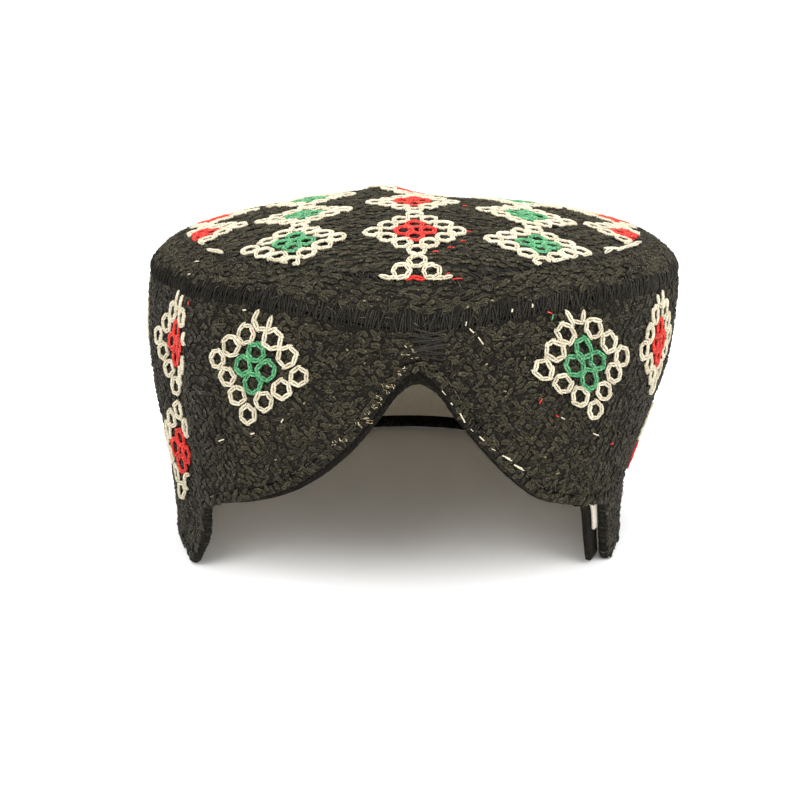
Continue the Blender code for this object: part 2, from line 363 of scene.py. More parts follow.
# cotton thread: a colour that drifts from stitch to stitch, a fine ply, painted shade in its pits and between
# its plies, and small pale flecks that are painted highlights on its grain
threadLooks = {
    "blackThread": {"colour": (0.060, 0.0535, 0.0325), "side": (0.057, 0.0530, 0.0450),
                    "dark": (0.0095, 0.0085, 0.0065), "light": (0.250, 0.218, 0.130), "lightShare": 0.55,
                    "specular": 0.11, "sheen": 0.03, "sheenTint": (1.0, 0.92, 0.72), "rough": (0.72, 0.93),
                    "relief": 0.9, "drift": 0.95, "pit": 0.75, "grain": 1500.0, "ply": 0.55,
                    "plyPitch": 0.00062},
    "dustyThread": {"colour": (0.095, 0.083, 0.053), "dark": (0.022, 0.019, 0.013),
                    "light": (0.280, 0.245, 0.155), "lightShare": 0.54, "specular": 0.12, "sheen": 0.04,
                    "sheenTint": (1.0, 0.92, 0.72), "rough": (0.72, 0.93), "relief": 0.6, "drift": 0.9,
                    "pit": 0.5, "grain": 1700.0, "ply": 0.3, "plyPitch": 0.00050},
    "smoothBlack": {"colour": (0.031, 0.0280, 0.0205), "dark": (0.0065, 0.0060, 0.0048),
                    "light": (0.130, 0.114, 0.078), "lightShare": 0.60, "specular": 0.14, "sheen": 0.03,
                    "sheenTint": (1.0, 0.94, 0.80), "rough": (0.62, 0.88), "relief": 0.7, "drift": 0.8,
                    "pit": 0.7, "grain": 1700.0, "ply": 0.5, "plyPitch": 0.00055},
    "paleThread": {"colour": (0.76, 0.70, 0.53), "dark": (0.40, 0.33, 0.21),
                   "light": (0.90, 0.86, 0.73), "lightShare": 0.48, "specular": 0.15, "sheen": 0.05,
                   "sheenTint": (1.0, 0.97, 0.9), "rough": (0.60, 0.85), "relief": 0.8, "drift": 0.5,
                   "pit": 0.6, "grain": 1500.0, "ply": 0.42, "plyPitch": 0.00070},
    "greenThread": {"colour": (0.055, 0.340, 0.125), "dark": (0.012, 0.120, 0.045),
                    "light": (0.480, 0.800, 0.480), "lightShare": 0.47, "specular": 0.30, "sheen": 0.10,
                    "sheenTint": (0.75, 1.0, 0.8), "rough": (0.50, 0.78), "relief": 0.8, "drift": 0.6,
                    "pit": 0.6, "grain": 1400.0, "ply": 0.35, "plyPitch": 0.00070},
    "redThread": {"colour": (0.80, 0.024, 0.016), "dark": (0.36, 0.006, 0.007),
                  "light": (0.98, 0.260, 0.140), "lightShare": 0.50, "specular": 0.26, "sheen": 0.06,
                  "sheenTint": (1.0, 0.75, 0.7), "rough": (0.50, 0.78), "relief": 0.8, "drift": 0.6,
                  "pit": 0.6, "grain": 1400.0, "ply": 0.35, "plyPitch": 0.00070},
    "goldThread": {"colour": (0.40, 0.31, 0.14), "dark": (0.10, 0.075, 0.035),
                   "light": (0.88, 0.80, 0.55), "lightShare": 0.50, "specular": 0.35, "sheen": 0.08,
                   "sheenTint": (1.0, 0.9, 0.7), "rough": (0.42, 0.70), "relief": 0.7, "drift": 0.7,
                   "pit": 0.6, "grain": 1800.0, "ply": 0.45, "plyPitch": 0.00055},
}


# what every thread shares: patches of wear, painted shade in pits, painted highlights, how its ply winds, and
# where a painted sheen makes the cap's sides greyer
threadWear = {"patchScale": 130.0, "patchShare": 0.55, "driftStops": (0.30, 0.72), "pitStops": (0.26, 0.46),
              "fibreRough": 0.68, "fleckFull": 0.80, "fleckShare": 0.85,
              "windAcross": 0.5, "windUp": 0.9, "windUneven": 0.00025, "windOffset": 9.0,
              "sideReach": (0.052, 0.070), "sideBelow": (0.094, 0.086), "reliefDepth": 0.00025}


def threadMaterial(name):
    look = {**threadWear, **threadLooks[name]}
    material, shader, wire = newMaterial(name, look)
    place = wire.node("ShaderNodeTexCoord", {}, {}, "Object")
    tone = wire.node("ShaderNodeAttribute", {"attribute_name": "tone"}, {}, "Fac")
    patches = noise(wire, place, look["patchScale"], 3.0)
    fibres = noise(wire, place, look["grain"], 4.0, look["fibreRough"])
    x, y, z = wire.split(wire.node("ShaderNodeAttribute", {"attribute_name": "local"}, {}, "Vector"))
    wound = x + y * look["windAcross"] + z * look["windUp"] + fibres * look["windUneven"]
    ply = sine(wire, wound * (2 * math.pi / look["plyPitch"]) + tone * look["windOffset"]) * 0.5 + 0.5
    start, full = look["driftStops"]
    share = look["patchShare"]
    drift = rampNode(wire, patches * share + tone * (1 - share), (start, 0.0), (full, 1.0))
    # painted highlight: the grain's raised spots are painted in the light colour
    paintedGlint = rampNode(wire, fibres, (look["lightShare"], 0.0), (look["fleckFull"], 1.0))
    # painted shade: the grain's hollows are painted dark as pits
    start, full = look["pitStops"]
    pit = rampNode(wire, fibres, (start, 1.0), (full, 0.0))
    colour = solid(look["colour"])
    dark = solid(look["dark"])
    if "side" in look:
        # painted sheen: the thread is painted a greyer colour down the cap's two sides, as the sheen of light
        # there
        across, unused, up = wire.split(place)
        far = wire.node("ShaderNodeMath", {"operation": "ABSOLUTE"}, {0: across})
        start, full = look["sideReach"]
        side = wire.node("ShaderNodeMapRange", {}, {"Value": far, "From Min": start, "From Max": full})
        start, full = look["sideBelow"]
        low = wire.node("ShaderNodeMapRange", {}, {"Value": up, "From Min": start, "From Max": full})
        colour = blend(wire, side * low, colour, solid(look["side"]))
    body = blend(wire, drift * look["drift"], colour, dark)
    body = blend(wire, pit * look["pit"], body, dark)
    # painted shade: the grooves between the plies are painted darker
    body = blend(wire, (1.0 - ply) * look["ply"], body, dark)
    feed(shader, "Base Color", blend(wire, paintedGlint * look["fleckShare"], body, solid(look["light"])))
    smoothest, roughest = look["rough"]
    feed(shader, "Roughness", roughest - fibres * (roughest - smoothest))
    feedBump(wire, shader, look, fibres * 0.5 + ply * 0.5)
    return material


# black cotton ground under the stitches, painted darker than the thread as shade in the gaps between
# stitches, with pale flecks on its grain that are painted highlights
groundLook = {"colour": (0.012, 0.0108, 0.0082), "dark": (0.004, 0.0035, 0.003),
              "light": (0.050, 0.044, 0.029), "specular": 0.08, "sheen": 0.02, "sheenTint": (1.0, 0.92, 0.75),
              "grain": 1500.0, "patchScale": 90.0, "cellScale": 1100.0, "fleckStops": (0.55, 0.78),
              "fleckShare": 0.7, "relief": 0.9, "reliefDepth": 0.0004}


def groundMaterial():
    look = groundLook
    material, shader, wire = newMaterial("blackGround", look)
    place = wire.node("ShaderNodeTexCoord", {}, {}, "Object")
    grain = noise(wire, place, look["grain"], 3.0, 0.6)
    patches = noise(wire, place, look["patchScale"], 2.0)
    cells = wire.node("ShaderNodeTexVoronoi", {"feature": "F1"},
                      {"Vector": place, "Scale": look["cellScale"]})
    body = blend(wire, patches, solid(look["colour"]), solid(look["dark"]))
    # painted highlight: the grain's raised spots are painted in the light colour
    start, full = look["fleckStops"]
    paintedGlint = rampNode(wire, grain, (start, 0.0), (full, 1.0))
    feed(shader, "Base Color", blend(wire, paintedGlint * look["fleckShare"], body, solid(look["light"])))
    feed(shader, "Roughness", 0.97 - grain * 0.15)
    feedBump(wire, shader, look, grain * 0.5 + cells)
    return material


# plain weave of unbleached cotton, drawn along the cloth's own directions
liningLook = {"colour": (0.72, 0.65, 0.52), "dark": (0.46, 0.39, 0.28), "light": (0.84, 0.78, 0.66),
              "specular": 0.2, "sheen": 0.15, "sheenTint": (1.0, 0.95, 0.85), "threadPitch": 0.0011,
              "slubScale": 420.0, "patchScale": 28.0, "weaveShade": 0.35, "slubShade": 0.25,
              "relief": 0.8, "reliefDepth": 0.0003}


def liningMaterial():
    look = liningLook
    material, shader, wire = newMaterial("liningWeave", look)
    u, v, unused = wire.split(wire.node("ShaderNodeUVMap", {"uv_map": "cloth"}))
    turns = 2 * math.pi / look["threadPitch"]
    weave = sine(wire, u * turns) * sine(wire, v * turns) * 0.5 + 0.5
    place = wire.node("ShaderNodeTexCoord", {}, {}, "Object")
    slub = noise(wire, place, look["slubScale"], 3.0)
    patches = noise(wire, place, look["patchScale"], 2.0)
    body = blend(wire, patches, solid(look["colour"]), solid(look["light"]))
    shade = (1 - weave) * look["weaveShade"] + slub * look["slubShade"]
    feed(shader, "Base Color", blend(wire, shade, body, solid(look["dark"])))
    feed(shader, "Roughness", 0.95 - weave * 0.1)
    feedBump(wire, shader, look, weave + slub * 0.4)
    return material


threads = {name: threadMaterial(name) for name in threadLooks}
blackGround = groundMaterial()
liningWeave = liningMaterial()
print("materials made")


socketKinds = {float: "NodeSocketFloat", int: "NodeSocketInt", type(None): "NodeSocketMaterial"}


def newTree(name, inputs):
    # inputs holds a value for every label; the answer holds the group's own wires by label
    tree = bpy.data.node_groups.new(name, "GeometryNodeTree")
    tree.interface.new_socket("Points", in_out="INPUT", socket_type="NodeSocketGeometry")
    for label, value in inputs.items():
        kind = socketKinds[type(value)]
        socket = tree.interface.new_socket(label, in_out="INPUT", socket_type=kind)
        if value is not None:
            socket.default_value = value
    tree.interface.new_socket("Geometry", in_out="OUTPUT", socket_type="NodeSocketGeometry")
    entry = tree.nodes.new("NodeGroupInput")
    return tree, {item.name: Wire(tree, item) for item in entry.outputs if item.name}


def namedInput(wire, label, kind):
    return wire.node("GeometryNodeInputNamedAttribute", {"data_type": kind}, {"Name": label})


def stored(wire, shape, label, value, kind, domain):
    return wire.node("GeometryNodeStoreNamedAttribute", {"data_type": kind, "domain": domain},
                     {"Geometry": shape, "Name": label, "Value": value})


def randomValue(wire, low, high, seed):
    return wire.node("FunctionNodeRandomValue", {"data_type": "FLOAT"}, {2: low, 3: high, "Seed": seed}, 1)


def circle(wire, points, radius):
    return wire.node("GeometryNodeCurvePrimitiveCircle", {"mode": "RADIUS"},
                     {"Resolution": points, "Radius": radius})


def placeThreads(tree, given, path):
    # winds thread round the path, puts it on every point, turned to the point's two directions, and paints it
    wire = Wire(tree)
    section = circle(wire, given["Thread Sides"], given["Thickness"] * 0.5)
    sockets = {"Curve": path, "Profile Curve": section, "Fill Caps": True}
    shape = wire.node("GeometryNodeCurveToMesh", {}, sockets)
    upright = wire.node("FunctionNodeAlignRotationToVector", {"axis": "Z"},
                        {"Vector": namedInput(wire, "outward", "FLOAT_VECTOR")})
    turned = wire.node("FunctionNodeAlignRotationToVector", {"axis": "X", "pivot_axis": "Z"},
                       {"Rotation": upright, "Vector": namedInput(wire, "along", "FLOAT_VECTOR")})
    uneven = given["Uneven"]
    girth = randomValue(wire, 1.0 - uneven, 1.0 + uneven, given["Thread Seed"])
    tone = randomValue(wire, 0.0, 1.0, given["Thread Seed"] + 1.0)
    size = wire.node("ShaderNodeCombineXYZ", {}, {0: namedInput(wire, "reach", "FLOAT"), 1: girth, 2: girth})
    spot = wire.node("GeometryNodeInputPosition")
    measured = stored(wire, shape, "local", spot, "FLOAT_VECTOR", "POINT")
    placed = wire.node("GeometryNodeInstanceOnPoints", {},
                       {"Points": given["Points"], "Instance": measured, "Rotation": turned, "Scale": size})
    toned = stored(wire, placed, "tone", tone, "FLOAT", "INSTANCE")
    real = wire.node("GeometryNodeRealizeInstances", {}, {"Geometry": toned})
    painted = wire.node("GeometryNodeSetMaterial", {}, {"Geometry": real, "Material": given["Thread"]})
    leave = tree.nodes.new("NodeGroupOutput")
    tree.links.new(painted.socket, leave.inputs[0])


def makeLoopTree():
    # a closed loop of thread, as in chain stitch: a ring drawn out along X, with one end narrower
    tree, given = newTree("threadLoops", {
        "Length": 0.003, "Width": 0.0012, "Thickness": 0.0005, "Rise": 0.0002, "Taper": 0.2,
        "Loop Points": 8, "Thread Sides": 3, "Turned": 0.0, "Uneven": 0.1, "Thread Seed": 1, "Thread": None})
    wire = Wire(tree)
    ring = circle(wire, given["Loop Points"], 1.0)
    x, y, unused = wire.split(wire.node("GeometryNodeInputPosition"))
    drawn = wire.node("ShaderNodeCombineXYZ", {}, {
        0: x * given["Length"] * 0.5,
        1: y * given["Width"] * 0.5 * (1.0 - x * given["Taper"]),
        2: given["Rise"] * (1.0 - x * x)})
    drawnRing = wire.node("GeometryNodeSetPosition", {}, {"Geometry": ring, "Position": drawn})
    turnedRing = wire.node("GeometryNodeSetCurveTilt", {}, {"Curve": drawnRing, "Tilt": given["Turned"]})
    placeThreads(tree, given, turnedRing)
    return tree


def makeBarTree():
    # one short thread that arches over the cloth, for whip stitches and loose ends
    tree, given = newTree("threadBars", {
        "Length": 0.004, "Thickness": 0.0005, "Rise": 0.0006, "Bend Points": 4, "Thread Sides": 3,
        "Uneven": 0.1, "Thread Seed": 1, "Thread": None})
    wire = Wire(tree)
    half = given["Length"] * 0.5
    start = wire.node("ShaderNodeCombineXYZ", {}, {0: half * -1.0})
    middle = wire.node("ShaderNodeCombineXYZ", {}, {2: given["Rise"] * 2.0})
    end = wire.node("ShaderNodeCombineXYZ", {}, {0: half})
    arch = wire.node("GeometryNodeCurveQuadraticBezier", {},
                     {"Resolution": given["Bend Points"], "Start": start, "Middle": middle, "End": end})
    placeThreads(tree, given, arch)
    return tree


loopTree = makeLoopTree()
barTree = makeBarTree()


def plainPiece(name, holder):
    # turns what the modifiers make into a plain mesh on an object of its own
    bpy.context.view_layer.update()
    evaluated = holder.evaluated_get(bpy.context.evaluated_depsgraph_get())
    mesh = bpy.data.meshes.new_from_object(evaluated, preserve_all_data_layers=True,
                                           depsgraph=bpy.context.evaluated_depsgraph_get())
    for modifier in list(holder.modifiers):
        holder.modifiers.remove(modifier)
    bpy.data.objects.remove(holder)
    mesh.name = name
    piece = bpy.data.objects.new(name, mesh)
    scene.collection.objects.link(piece)
    return piece


def sewThreads(name, tree, spots, look, thread):
    # spots: places, outward and along directions and reach of every stitch; look: the tree's inputs by name
    places, outward, along, reach = spots
    mesh = bpy.data.meshes.new(name + "_spots")
    mesh.from_pydata([tuple(p) for p in places], [], [])
    for label, data in (("outward", outward), ("along", along)):
        layer = mesh.attributes.new(label, "FLOAT_VECTOR", "POINT")
        layer.data.foreach_set("vector", np.ascontiguousarray(data, dtype=np.float32).ravel())
    layer = mesh.attributes.new("reach", "FLOAT", "POINT")
    layer.data.foreach_set("value", np.ascontiguousarray(reach, dtype=np.float32))
    holder = bpy.data.objects.new(name + "_spots", mesh)
    scene.collection.objects.link(holder)
    modifier = holder.modifiers.new("sewing", "NODES")
    modifier.node_group = tree
    look = {**look, "thread": threads[thread]}
    for item in tree.interface.items_tree:
        key = item.name[0].lower() + item.name[1:].replace(" ", "")
        if item.item_type == "SOCKET" and item.in_out == "INPUT" and key in look:
            modifier[item.identifier] = look[key]
    piece = plainPiece(name, holder)
    piece.data.shade_smooth()
    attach(piece, "root")
    return piece


def gridCloth(name, points, material, closed, sizes=None, thickness=0.0, merge=2e-6):
    # points is rows by columns by 3; a closed sheet joins its last column to its first
    rows, columns = points.shape[:2]
    sheet = bmesh.new()
    corners = [[sheet.verts.new(points[j, i]) for i in range(columns)] for j in range(rows)]
    layer = sheet.loops.layers.uv.new("cloth")
    for j in range(rows - 1):
        for i in range(columns if closed else columns - 1):
            k = (i + 1) % columns
            face = sheet.faces.new((corners[j][i], corners[j][k], corners[j + 1][k], corners[j + 1][i]))
            face.smooth = True
            if sizes is not None:
                wide = sizes[j, i + 1] if closed and k == 0 else sizes[j, k]
                above = sizes[j + 1, i + 1] if closed and k == 0 else sizes[j + 1, k]
                for loop, spot in zip(face.loops, (sizes[j, i], wide, above, sizes[j + 1, i])):
                    loop[layer].uv = spot
    sheet.normal_update()
    outward = 0.0
    for face in sheet.faces:
        centre = face.calc_center_median()
        centre.z -= capShape["middle"][2]
        outward += centre.dot(face.normal)
    if outward < 0:
        bmesh.ops.reverse_faces(sheet, faces=sheet.faces)
    bmesh.ops.remove_doubles(sheet, verts=sheet.verts, dist=merge)
    mesh = bpy.data.meshes.new(name)
    sheet.to_mesh(mesh)
    sheet.free()
    mesh.materials.append(material)
    holder = bpy.data.objects.new(name + "_sheet", mesh)
    scene.collection.objects.link(holder)
    if thickness:
        solidify = holder.modifiers.new("cloth", "SOLIDIFY")
        solidify.thickness = thickness
        solidify.offset = -1.0
        solidify.use_even_offset = True
        solidify.use_quality_normals = True
    return plainPiece(name, holder)


def finishCloth(piece, node, sharp=50.0):
    piece.data.shade_smooth()
    piece.data.set_sharp_from_angle(angle=math.radians(sharp))
    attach(piece, "root")
    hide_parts(node)


def finishFacing(piece, slot):
    piece.data.shade_smooth()
    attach(piece, "root")


# crown: a domed disc and the plain border that turns over the shoulder
crownCloth = {"columns": 160, "discRows": 28, "thickness": 0.0025, "gap": 0.0003, "seamTuck": 0.0014,
              "borderRadii": (0.0900, 0.0899, 0.0896, 0.0890, 0.0882, 0.0872, 0.0860, 0.0845, 0.0828, 0.0810,
                              0.0803)}


def makeCrownCloth():
    thickness = crownCloth["thickness"]
    turns = np.arange(crownCloth["columns"]) * 360.0 / crownCloth["columns"]
    radii = capShape["discRadius"] * (1 - np.arange(crownCloth["discRows"] + 1) / crownCloth["discRows"])
    disc = crownPoint(turns[None, :], radii[:, None])
    piece = gridCloth("crown_cloth", disc, blackGround, True, thickness=thickness)
    finishCloth(piece, "crown_top")
    rows = [crownPoint(turns, radius) for radius in crownCloth["borderRadii"]]
    rows[0] = crownPoint(turns, capShape["crownRadius"], crownCloth["seamTuck"], -crownCloth["gap"])
    piece = gridCloth("border_cloth", np.array(rows), blackGround, True, thickness=thickness)
    finishCloth(piece, "crown_ring")


makeCrownCloth()
print("crown cloth made")


def rimFrame(azimuth):
    step = 1.2
    along = 2 * math.radians(step) * capShape["unrollRadius"]
    rise = rimHeight(azimuth + step) - rimHeight(azimuth - step)
    length = np.hypot(along, rise)
    return -rise / length, along / length


def aboveRim(azimuth, distance):
    roundPart, upPart = rimFrame(azimuth)
    turn = np.degrees(roundPart * distance / capShape["unrollRadius"])
    return azimuth + turn, rimHeight(azimuth) + upPart * distance


# wall: one soft strip whose ends meet over the brow
wallCloth = {"fineStep": 0.9, "coarseStep": 2.0, "fineReach": 58.0, "endGap": 0.12, "rows": 22,
             "lastShare": 0.985, "thickness": 0.0025, "gap": 0.0003, "seamTuck": 0.0014, "hemHeight": 0.0030}


def wallColumns(start, stop):
    places = [start]
    while places[-1] < stop:
        near = abs(turnBetween(places[-1], 0.0)) < wallCloth["fineReach"]
        places.append(places[-1] + (wallCloth["fineStep"] if near else wallCloth["coarseStep"]))
    places = np.array(places)
    return start + (places - start) * (stop - start) / (places[-1] - start)


def makeWallCloth():
    columns = wallColumns(wallCloth["endGap"], 360.0 - wallCloth["endGap"])
    lowTurn, lowHeight = aboveRim(columns, wallCloth["hemHeight"] + wallCloth["gap"])
    lowTurn[[0, -1]] = columns[[0, -1]]
    shares = np.append(np.linspace(0.0, wallCloth["lastShare"], wallCloth["rows"]), 1.0)[:, None]
    turns = lowTurn + (columns - lowTurn) * shares
    heights = lowHeight + (seamHeight(columns) - lowHeight) * shares
    tucks = np.where(shares == 1.0, wallCloth["seamTuck"], 0.0) + 0 * turns
    points = wallPoint(turns, heights, tucks)
    piece = gridCloth("wall_cloth", points, blackGround, False, thickness=wallCloth["thickness"])
    finishCloth(piece, "band")


makeWallCloth()
print("wall cloth made")

# hem: a soft roll round the whole cut edge
hemRoll = {"width": 0.0031, "height": 0.0030, "sides": 14, "squareness": 2.6, "sharp": 70.0}


def makeHemRoll():
    columns = wallColumns(wallCloth["endGap"], 360.0 - wallCloth["endGap"])
    rows = []
    for k in range(hemRoll["sides"] + 1):
        turn = 2 * math.pi * k / hemRoll["sides"]
        power = 2 / hemRoll["squareness"]
        out = math.copysign(abs(math.cos(turn)) ** power, math.cos(turn)) * hemRoll["width"] / 2
        up = (1 + math.copysign(abs(math.sin(turn)) ** power, math.sin(turn))) * hemRoll["height"] / 2
        azimuth, height = aboveRim(columns, up)
        rows.append(wallPoint(azimuth, height, wallCloth["thickness"] / 2 - out))
    piece = gridCloth("hem_roll", np.array(rows), blackGround, True)
    made = bmesh.new()
    made.from_mesh(piece.data)
    bmesh.ops.recalc_face_normals(made, faces=made.faces)
    made.to_mesh(piece.data)
    made.free()
    finishCloth(piece, "rim_hem", hemRoll["sharp"])


makeHemRoll()
print("hem made")

# lining: pale cotton up the wall and under the crown
liningCloth = {"columns": 144, "thickness": 0.0012, "inset": 0.0034, "crownEase": 0.0007, "aboveRim": 0.0065,
               "belowSeam": 0.0045, "clearTurns": (-6.0, -3.0, 0.0, 3.0, 6.0),
               "unrollRadius": 0.087, "unrollTop": 0.18,
               "shares": (0.0, 0.17, 0.35, 0.57, 0.8, 1.0),
               "radii": (0.0822, 0.0790, 0.0750, 0.0660, 0.0560, 0.0430, 0.0290, 0.0140, 0.0)}


def makeLining():
    turns = np.arange(liningCloth["columns"] + 1) * 360.0 / liningCloth["columns"]
    highest = np.max([rimHeight(turns + turn) for turn in liningCloth["clearTurns"]], axis=0)
    low = np.minimum(highest + liningCloth["aboveRim"], seamHeight(turns) - liningCloth["belowSeam"])
    unrolled = np.radians(turns) * liningCloth["unrollRadius"]
    rows = []
    sizes = []
    for share in liningCloth["shares"]:
        height = low + (seamHeight(turns) - low) * share
        fold = np.min([foldDepth(turns + turn, height) for turn in liningCloth["clearTurns"]], axis=0)
        rows.append(around(turns, planRadius(turns, height) + fold - liningCloth["inset"], height))
        sizes.append(np.stack((unrolled, height), axis=-1))
    drop = liningCloth["inset"] + liningCloth["crownEase"]
    for radius in liningCloth["radii"]:
        rows.append(crownPoint(turns, radius, 0.0, drop))
        sizes.append(np.stack((unrolled, liningCloth["unrollTop"] - radius + 0 * turns), axis=-1))
    points = np.array(rows)[:, :-1]
    piece = gridCloth("lining_weave", points, liningWeave, True, np.array(sizes), liningCloth["thickness"])
    finishCloth(piece, "lining")


makeLining()
print("lining made")


def jitter(random, count, size):
    return random.uniform(-size, size, count)


def turnedAlong(outward, along, degrees):
    # turns each along direction in the cloth's own plane
    across = np.cross(outward, along)
    angle = np.radians(degrees)[:, None]
    return along * np.cos(angle) + across * np.sin(angle)


def sewGround(name, which, first, second, ground, random, raised=0.0, turned=0.0):
    # a field of black chain stitches, each a little off in lift, turn and length
    count = len(first)
    lift = ground["lift"] + raised + jitter(random, count, ground["unevenLift"])
    place, outward, along = onSurface(which, first, second, lift)
    along = turnedAlong(outward, along, jitter(random, count, ground["turn"]) + turned)
    reach = 1 + jitter(random, count, ground["unevenReach"])
    look = {**ground, "loopPoints": 5, "threadSeed": ground["seed"]}
    sewThreads(name, loopTree, (place, outward, along, reach), look, "blackThread")


# black chain stitch over the disc, in rows across it
crownGround = {"pitch": 0.0024, "rowPitch": 0.00165, "length": 0.0027, "width": 0.00085,
               "thickness": 0.00090, "rise": 0.00025, "taper": 0.15, "lift": -0.00005, "unevenLift": 0.00025,
               "across": 0.166, "deep": 0.16, "edge": 0.0796, "wave": 0.0006, "waveTurn": 90.0,
               "unevenPlace": 0.0005, "turn": 36.0, "unevenReach": 0.24, "uneven": 0.24, "seed": 11}


def makeCrownGround():
    random = np.random.default_rng(crownGround["seed"])
    spots = []
    rows = int(crownGround["deep"] / crownGround["rowPitch"])
    count = int(crownGround["across"] / crownGround["pitch"])
    for j in range(-rows // 2, rows // 2 + 1):
        y = j * crownGround["rowPitch"]
        x = (np.arange(count) - count / 2 + 0.5 * (j % 2)) * crownGround["pitch"]
        wave = crownGround["wave"] * np.sin(x * crownGround["waveTurn"] + j)
        spots.append(np.stack((x, y + wave), axis=-1))
    spots = np.concatenate(spots)
    spots += random.uniform(-crownGround["unevenPlace"], crownGround["unevenPlace"], spots.shape)
    spots = spots[np.hypot(spots[:, 0], spots[:, 1]) < crownGround["edge"]]
    sewGround("crown_chain", "crown", spots[:, 0], spots[:, 1], crownGround, random)


makeCrownGround()

# the threads of the seam reach up onto the border, highest over the brow, and end at a dark crease
seamThreads = {"topOverBrow": 0.0873, "topElsewhere": 0.0888, "topReach": 32.0,
               "drop": 0.0004, "dropAside": 0.0022, "dropReach": 32.0}


def seamThreadTop(azimuth):
    nearBrow = np.exp(-((turnBetween(azimuth, 0.0) / seamThreads["topReach"]) ** 2))
    return seamThreads["topElsewhere"] + (seamThreads["topOverBrow"] - seamThreads["topElsewhere"]) * nearBrow


def creaseHeight(azimuth):
    aside = 1 - np.exp(-((turnBetween(azimuth, 0.0) / seamThreads["dropReach"]) ** 2))
    return seamHeight(azimuth) - seamThreads["drop"] - seamThreads["dropAside"] * aside


# black chain stitch round the border, in rings down the shoulder
borderGround = {"pitch": 0.0024, "length": 0.0027, "width": 0.00085, "thickness": 0.00090, "rise": 0.00025,
                "rings": (0.0811, 0.0825, 0.0839, 0.0852, 0.0863, 0.0873, 0.0882, 0.0890, 0.0896),
                "taper": 0.15, "lift": -0.00005, "unevenLift": 0.00025, "unevenTurn": 0.35,
                "unevenRadius": 0.0004, "innermost": 0.0808, "outermost": 0.0897, "unevenSeam": 0.0008,
                "turn": 36.0, "unevenReach": 0.24, "uneven": 0.24, "seed": 23}


def makeBorderGround():
    random = np.random.default_rng(borderGround["seed"])
    turns = []
    radii = []
    for j, radius in enumerate(borderGround["rings"]):
        count = int(2 * math.pi * radius / borderGround["pitch"])
        turns.append((np.arange(count) + 0.5 * (j % 2)) * 360.0 / count)
        radii.append(np.full(count, radius))
    turns = np.concatenate(turns)
    radii = np.concatenate(radii)
    count = len(turns)
    turns = turns + jitter(random, count, borderGround["unevenTurn"])
    radii = radii + jitter(random, count, borderGround["unevenRadius"])
    radii = np.clip(radii, borderGround["innermost"], borderGround["outermost"])
    clear = radii < seamThreadTop(turns) + jitter(random, count, borderGround["unevenSeam"])
    sewGround("border_chain", "border", turns[clear], radii[clear], borderGround, random)


makeBorderGround()
print("crown chain stitch sewn")

# smaller black stitches over the wall, in level rows that turn upright towards the tails
wallGround = {"pitch": 0.00225, "rowPitch": 0.00155, "length": 0.0023, "width": 0.00072,
              "thickness": 0.00082, "rise": 0.0002, "taper": 0.12, "lift": -0.00005, "unevenLift": 0.00025,
              "lowest": 0.0012, "rowReach": 0.0955, "radius": 0.0895, "unevenTurn": 0.3,
              "unevenHeight": 0.0004, "aboveRim": 0.0008, "belowSeam": 0.0006, "turn": 60.0,
              "unevenReach": 0.26, "uneven": 0.26, "seed": 37,
              "overHem": 0.00045, "hemEase": (0.0024, 0.0036),
              "crease": (0.0031, 0.0039), "creaseShare": 0.75, "creaseAbove": 0.002,
              "uprightFrom": 36.0, "uprightTo": 47.0, "uprightBelow": 0.062,
              "quarters": (("front", -50.0, 50.0), ("right", 50.0, 130.0), ("back", 130.0, 230.0),
                           ("left", 230.0, 310.0))}


def makeWallGround():
    ground = wallGround
    random = np.random.default_rng(ground["seed"])
    turns = []
    heights = []
    count = int(2 * math.pi * ground["radius"] / ground["pitch"])
    for j in range(int(ground["rowReach"] / ground["rowPitch"])):
        turns.append((np.arange(count) + 0.5 * (j % 2)) * 360.0 / count + ground["quarters"][0][1])
        heights.append(np.full(count, ground["lowest"] + j * ground["rowPitch"]))
    turns = np.concatenate(turns)
    heights = np.concatenate(heights)
    turns = turns + jitter(random, len(turns), ground["unevenTurn"])
    heights = heights + jitter(random, len(heights), ground["unevenHeight"])
    away = (heights - rimHeight(turns)) * rimFrame(turns)[1]
    keep = (heights < creaseHeight(turns) - ground["belowSeam"]) & (away > ground["aboveRim"])
    low, high = ground["crease"]
    inCrease = (away > low) & (away < high) & (rimHeight(turns) > ground["creaseAbove"])
    keep &= ~(inCrease & (random.random(len(turns)) < ground["creaseShare"]))
    overHem = ground["overHem"] * (1 - smoothStep(*ground["hemEase"], away))
    aside = abs(turnBetween(turns, 0.0))
    upright = (aside > ground["uprightFrom"]) & (aside < ground["uprightTo"])
    turned = np.where(upright & (heights < ground["uprightBelow"]), 90.0, 0.0)
    for name, start, stop in ground["quarters"]:
        mine = keep & (turns >= start) & (turns < stop)
        sewGround("wall_chain_" + name, "wall", turns[mine], heights[mine], ground, random,
                  overHem[mine], turned[mine])
        print("wall stitches sewn:", name, int(mine.sum()))


makeWallGround()

# fine dusty fibres that stand out of the stitches: surface, count, reach of its two directions
fibres = {"length": 0.0017, "thickness": 0.00020, "rise": 0.0002, "lift": 0.00052, "unevenLift": 0.00016,
          "unevenReach": 0.4, "turn": 90.0, "seed": 71, "bendPoints": 2, "uneven": 0.2, "threadSeed": 19,
          "crownReach": 0.079, "aboveRim": 0.003, "belowSeam": 0.001,
          "patches": (("crown", 1600, (-0.079, 0.079), (-0.079, 0.079), "crown_cloth"),
                      ("border", 900, (-180.0, 180.0), (0.0806, 0.0896), "border_cloth"),
                      ("wall", 2900, (-180.0, 180.0), (0.002, 0.094), "band_cloth"))}


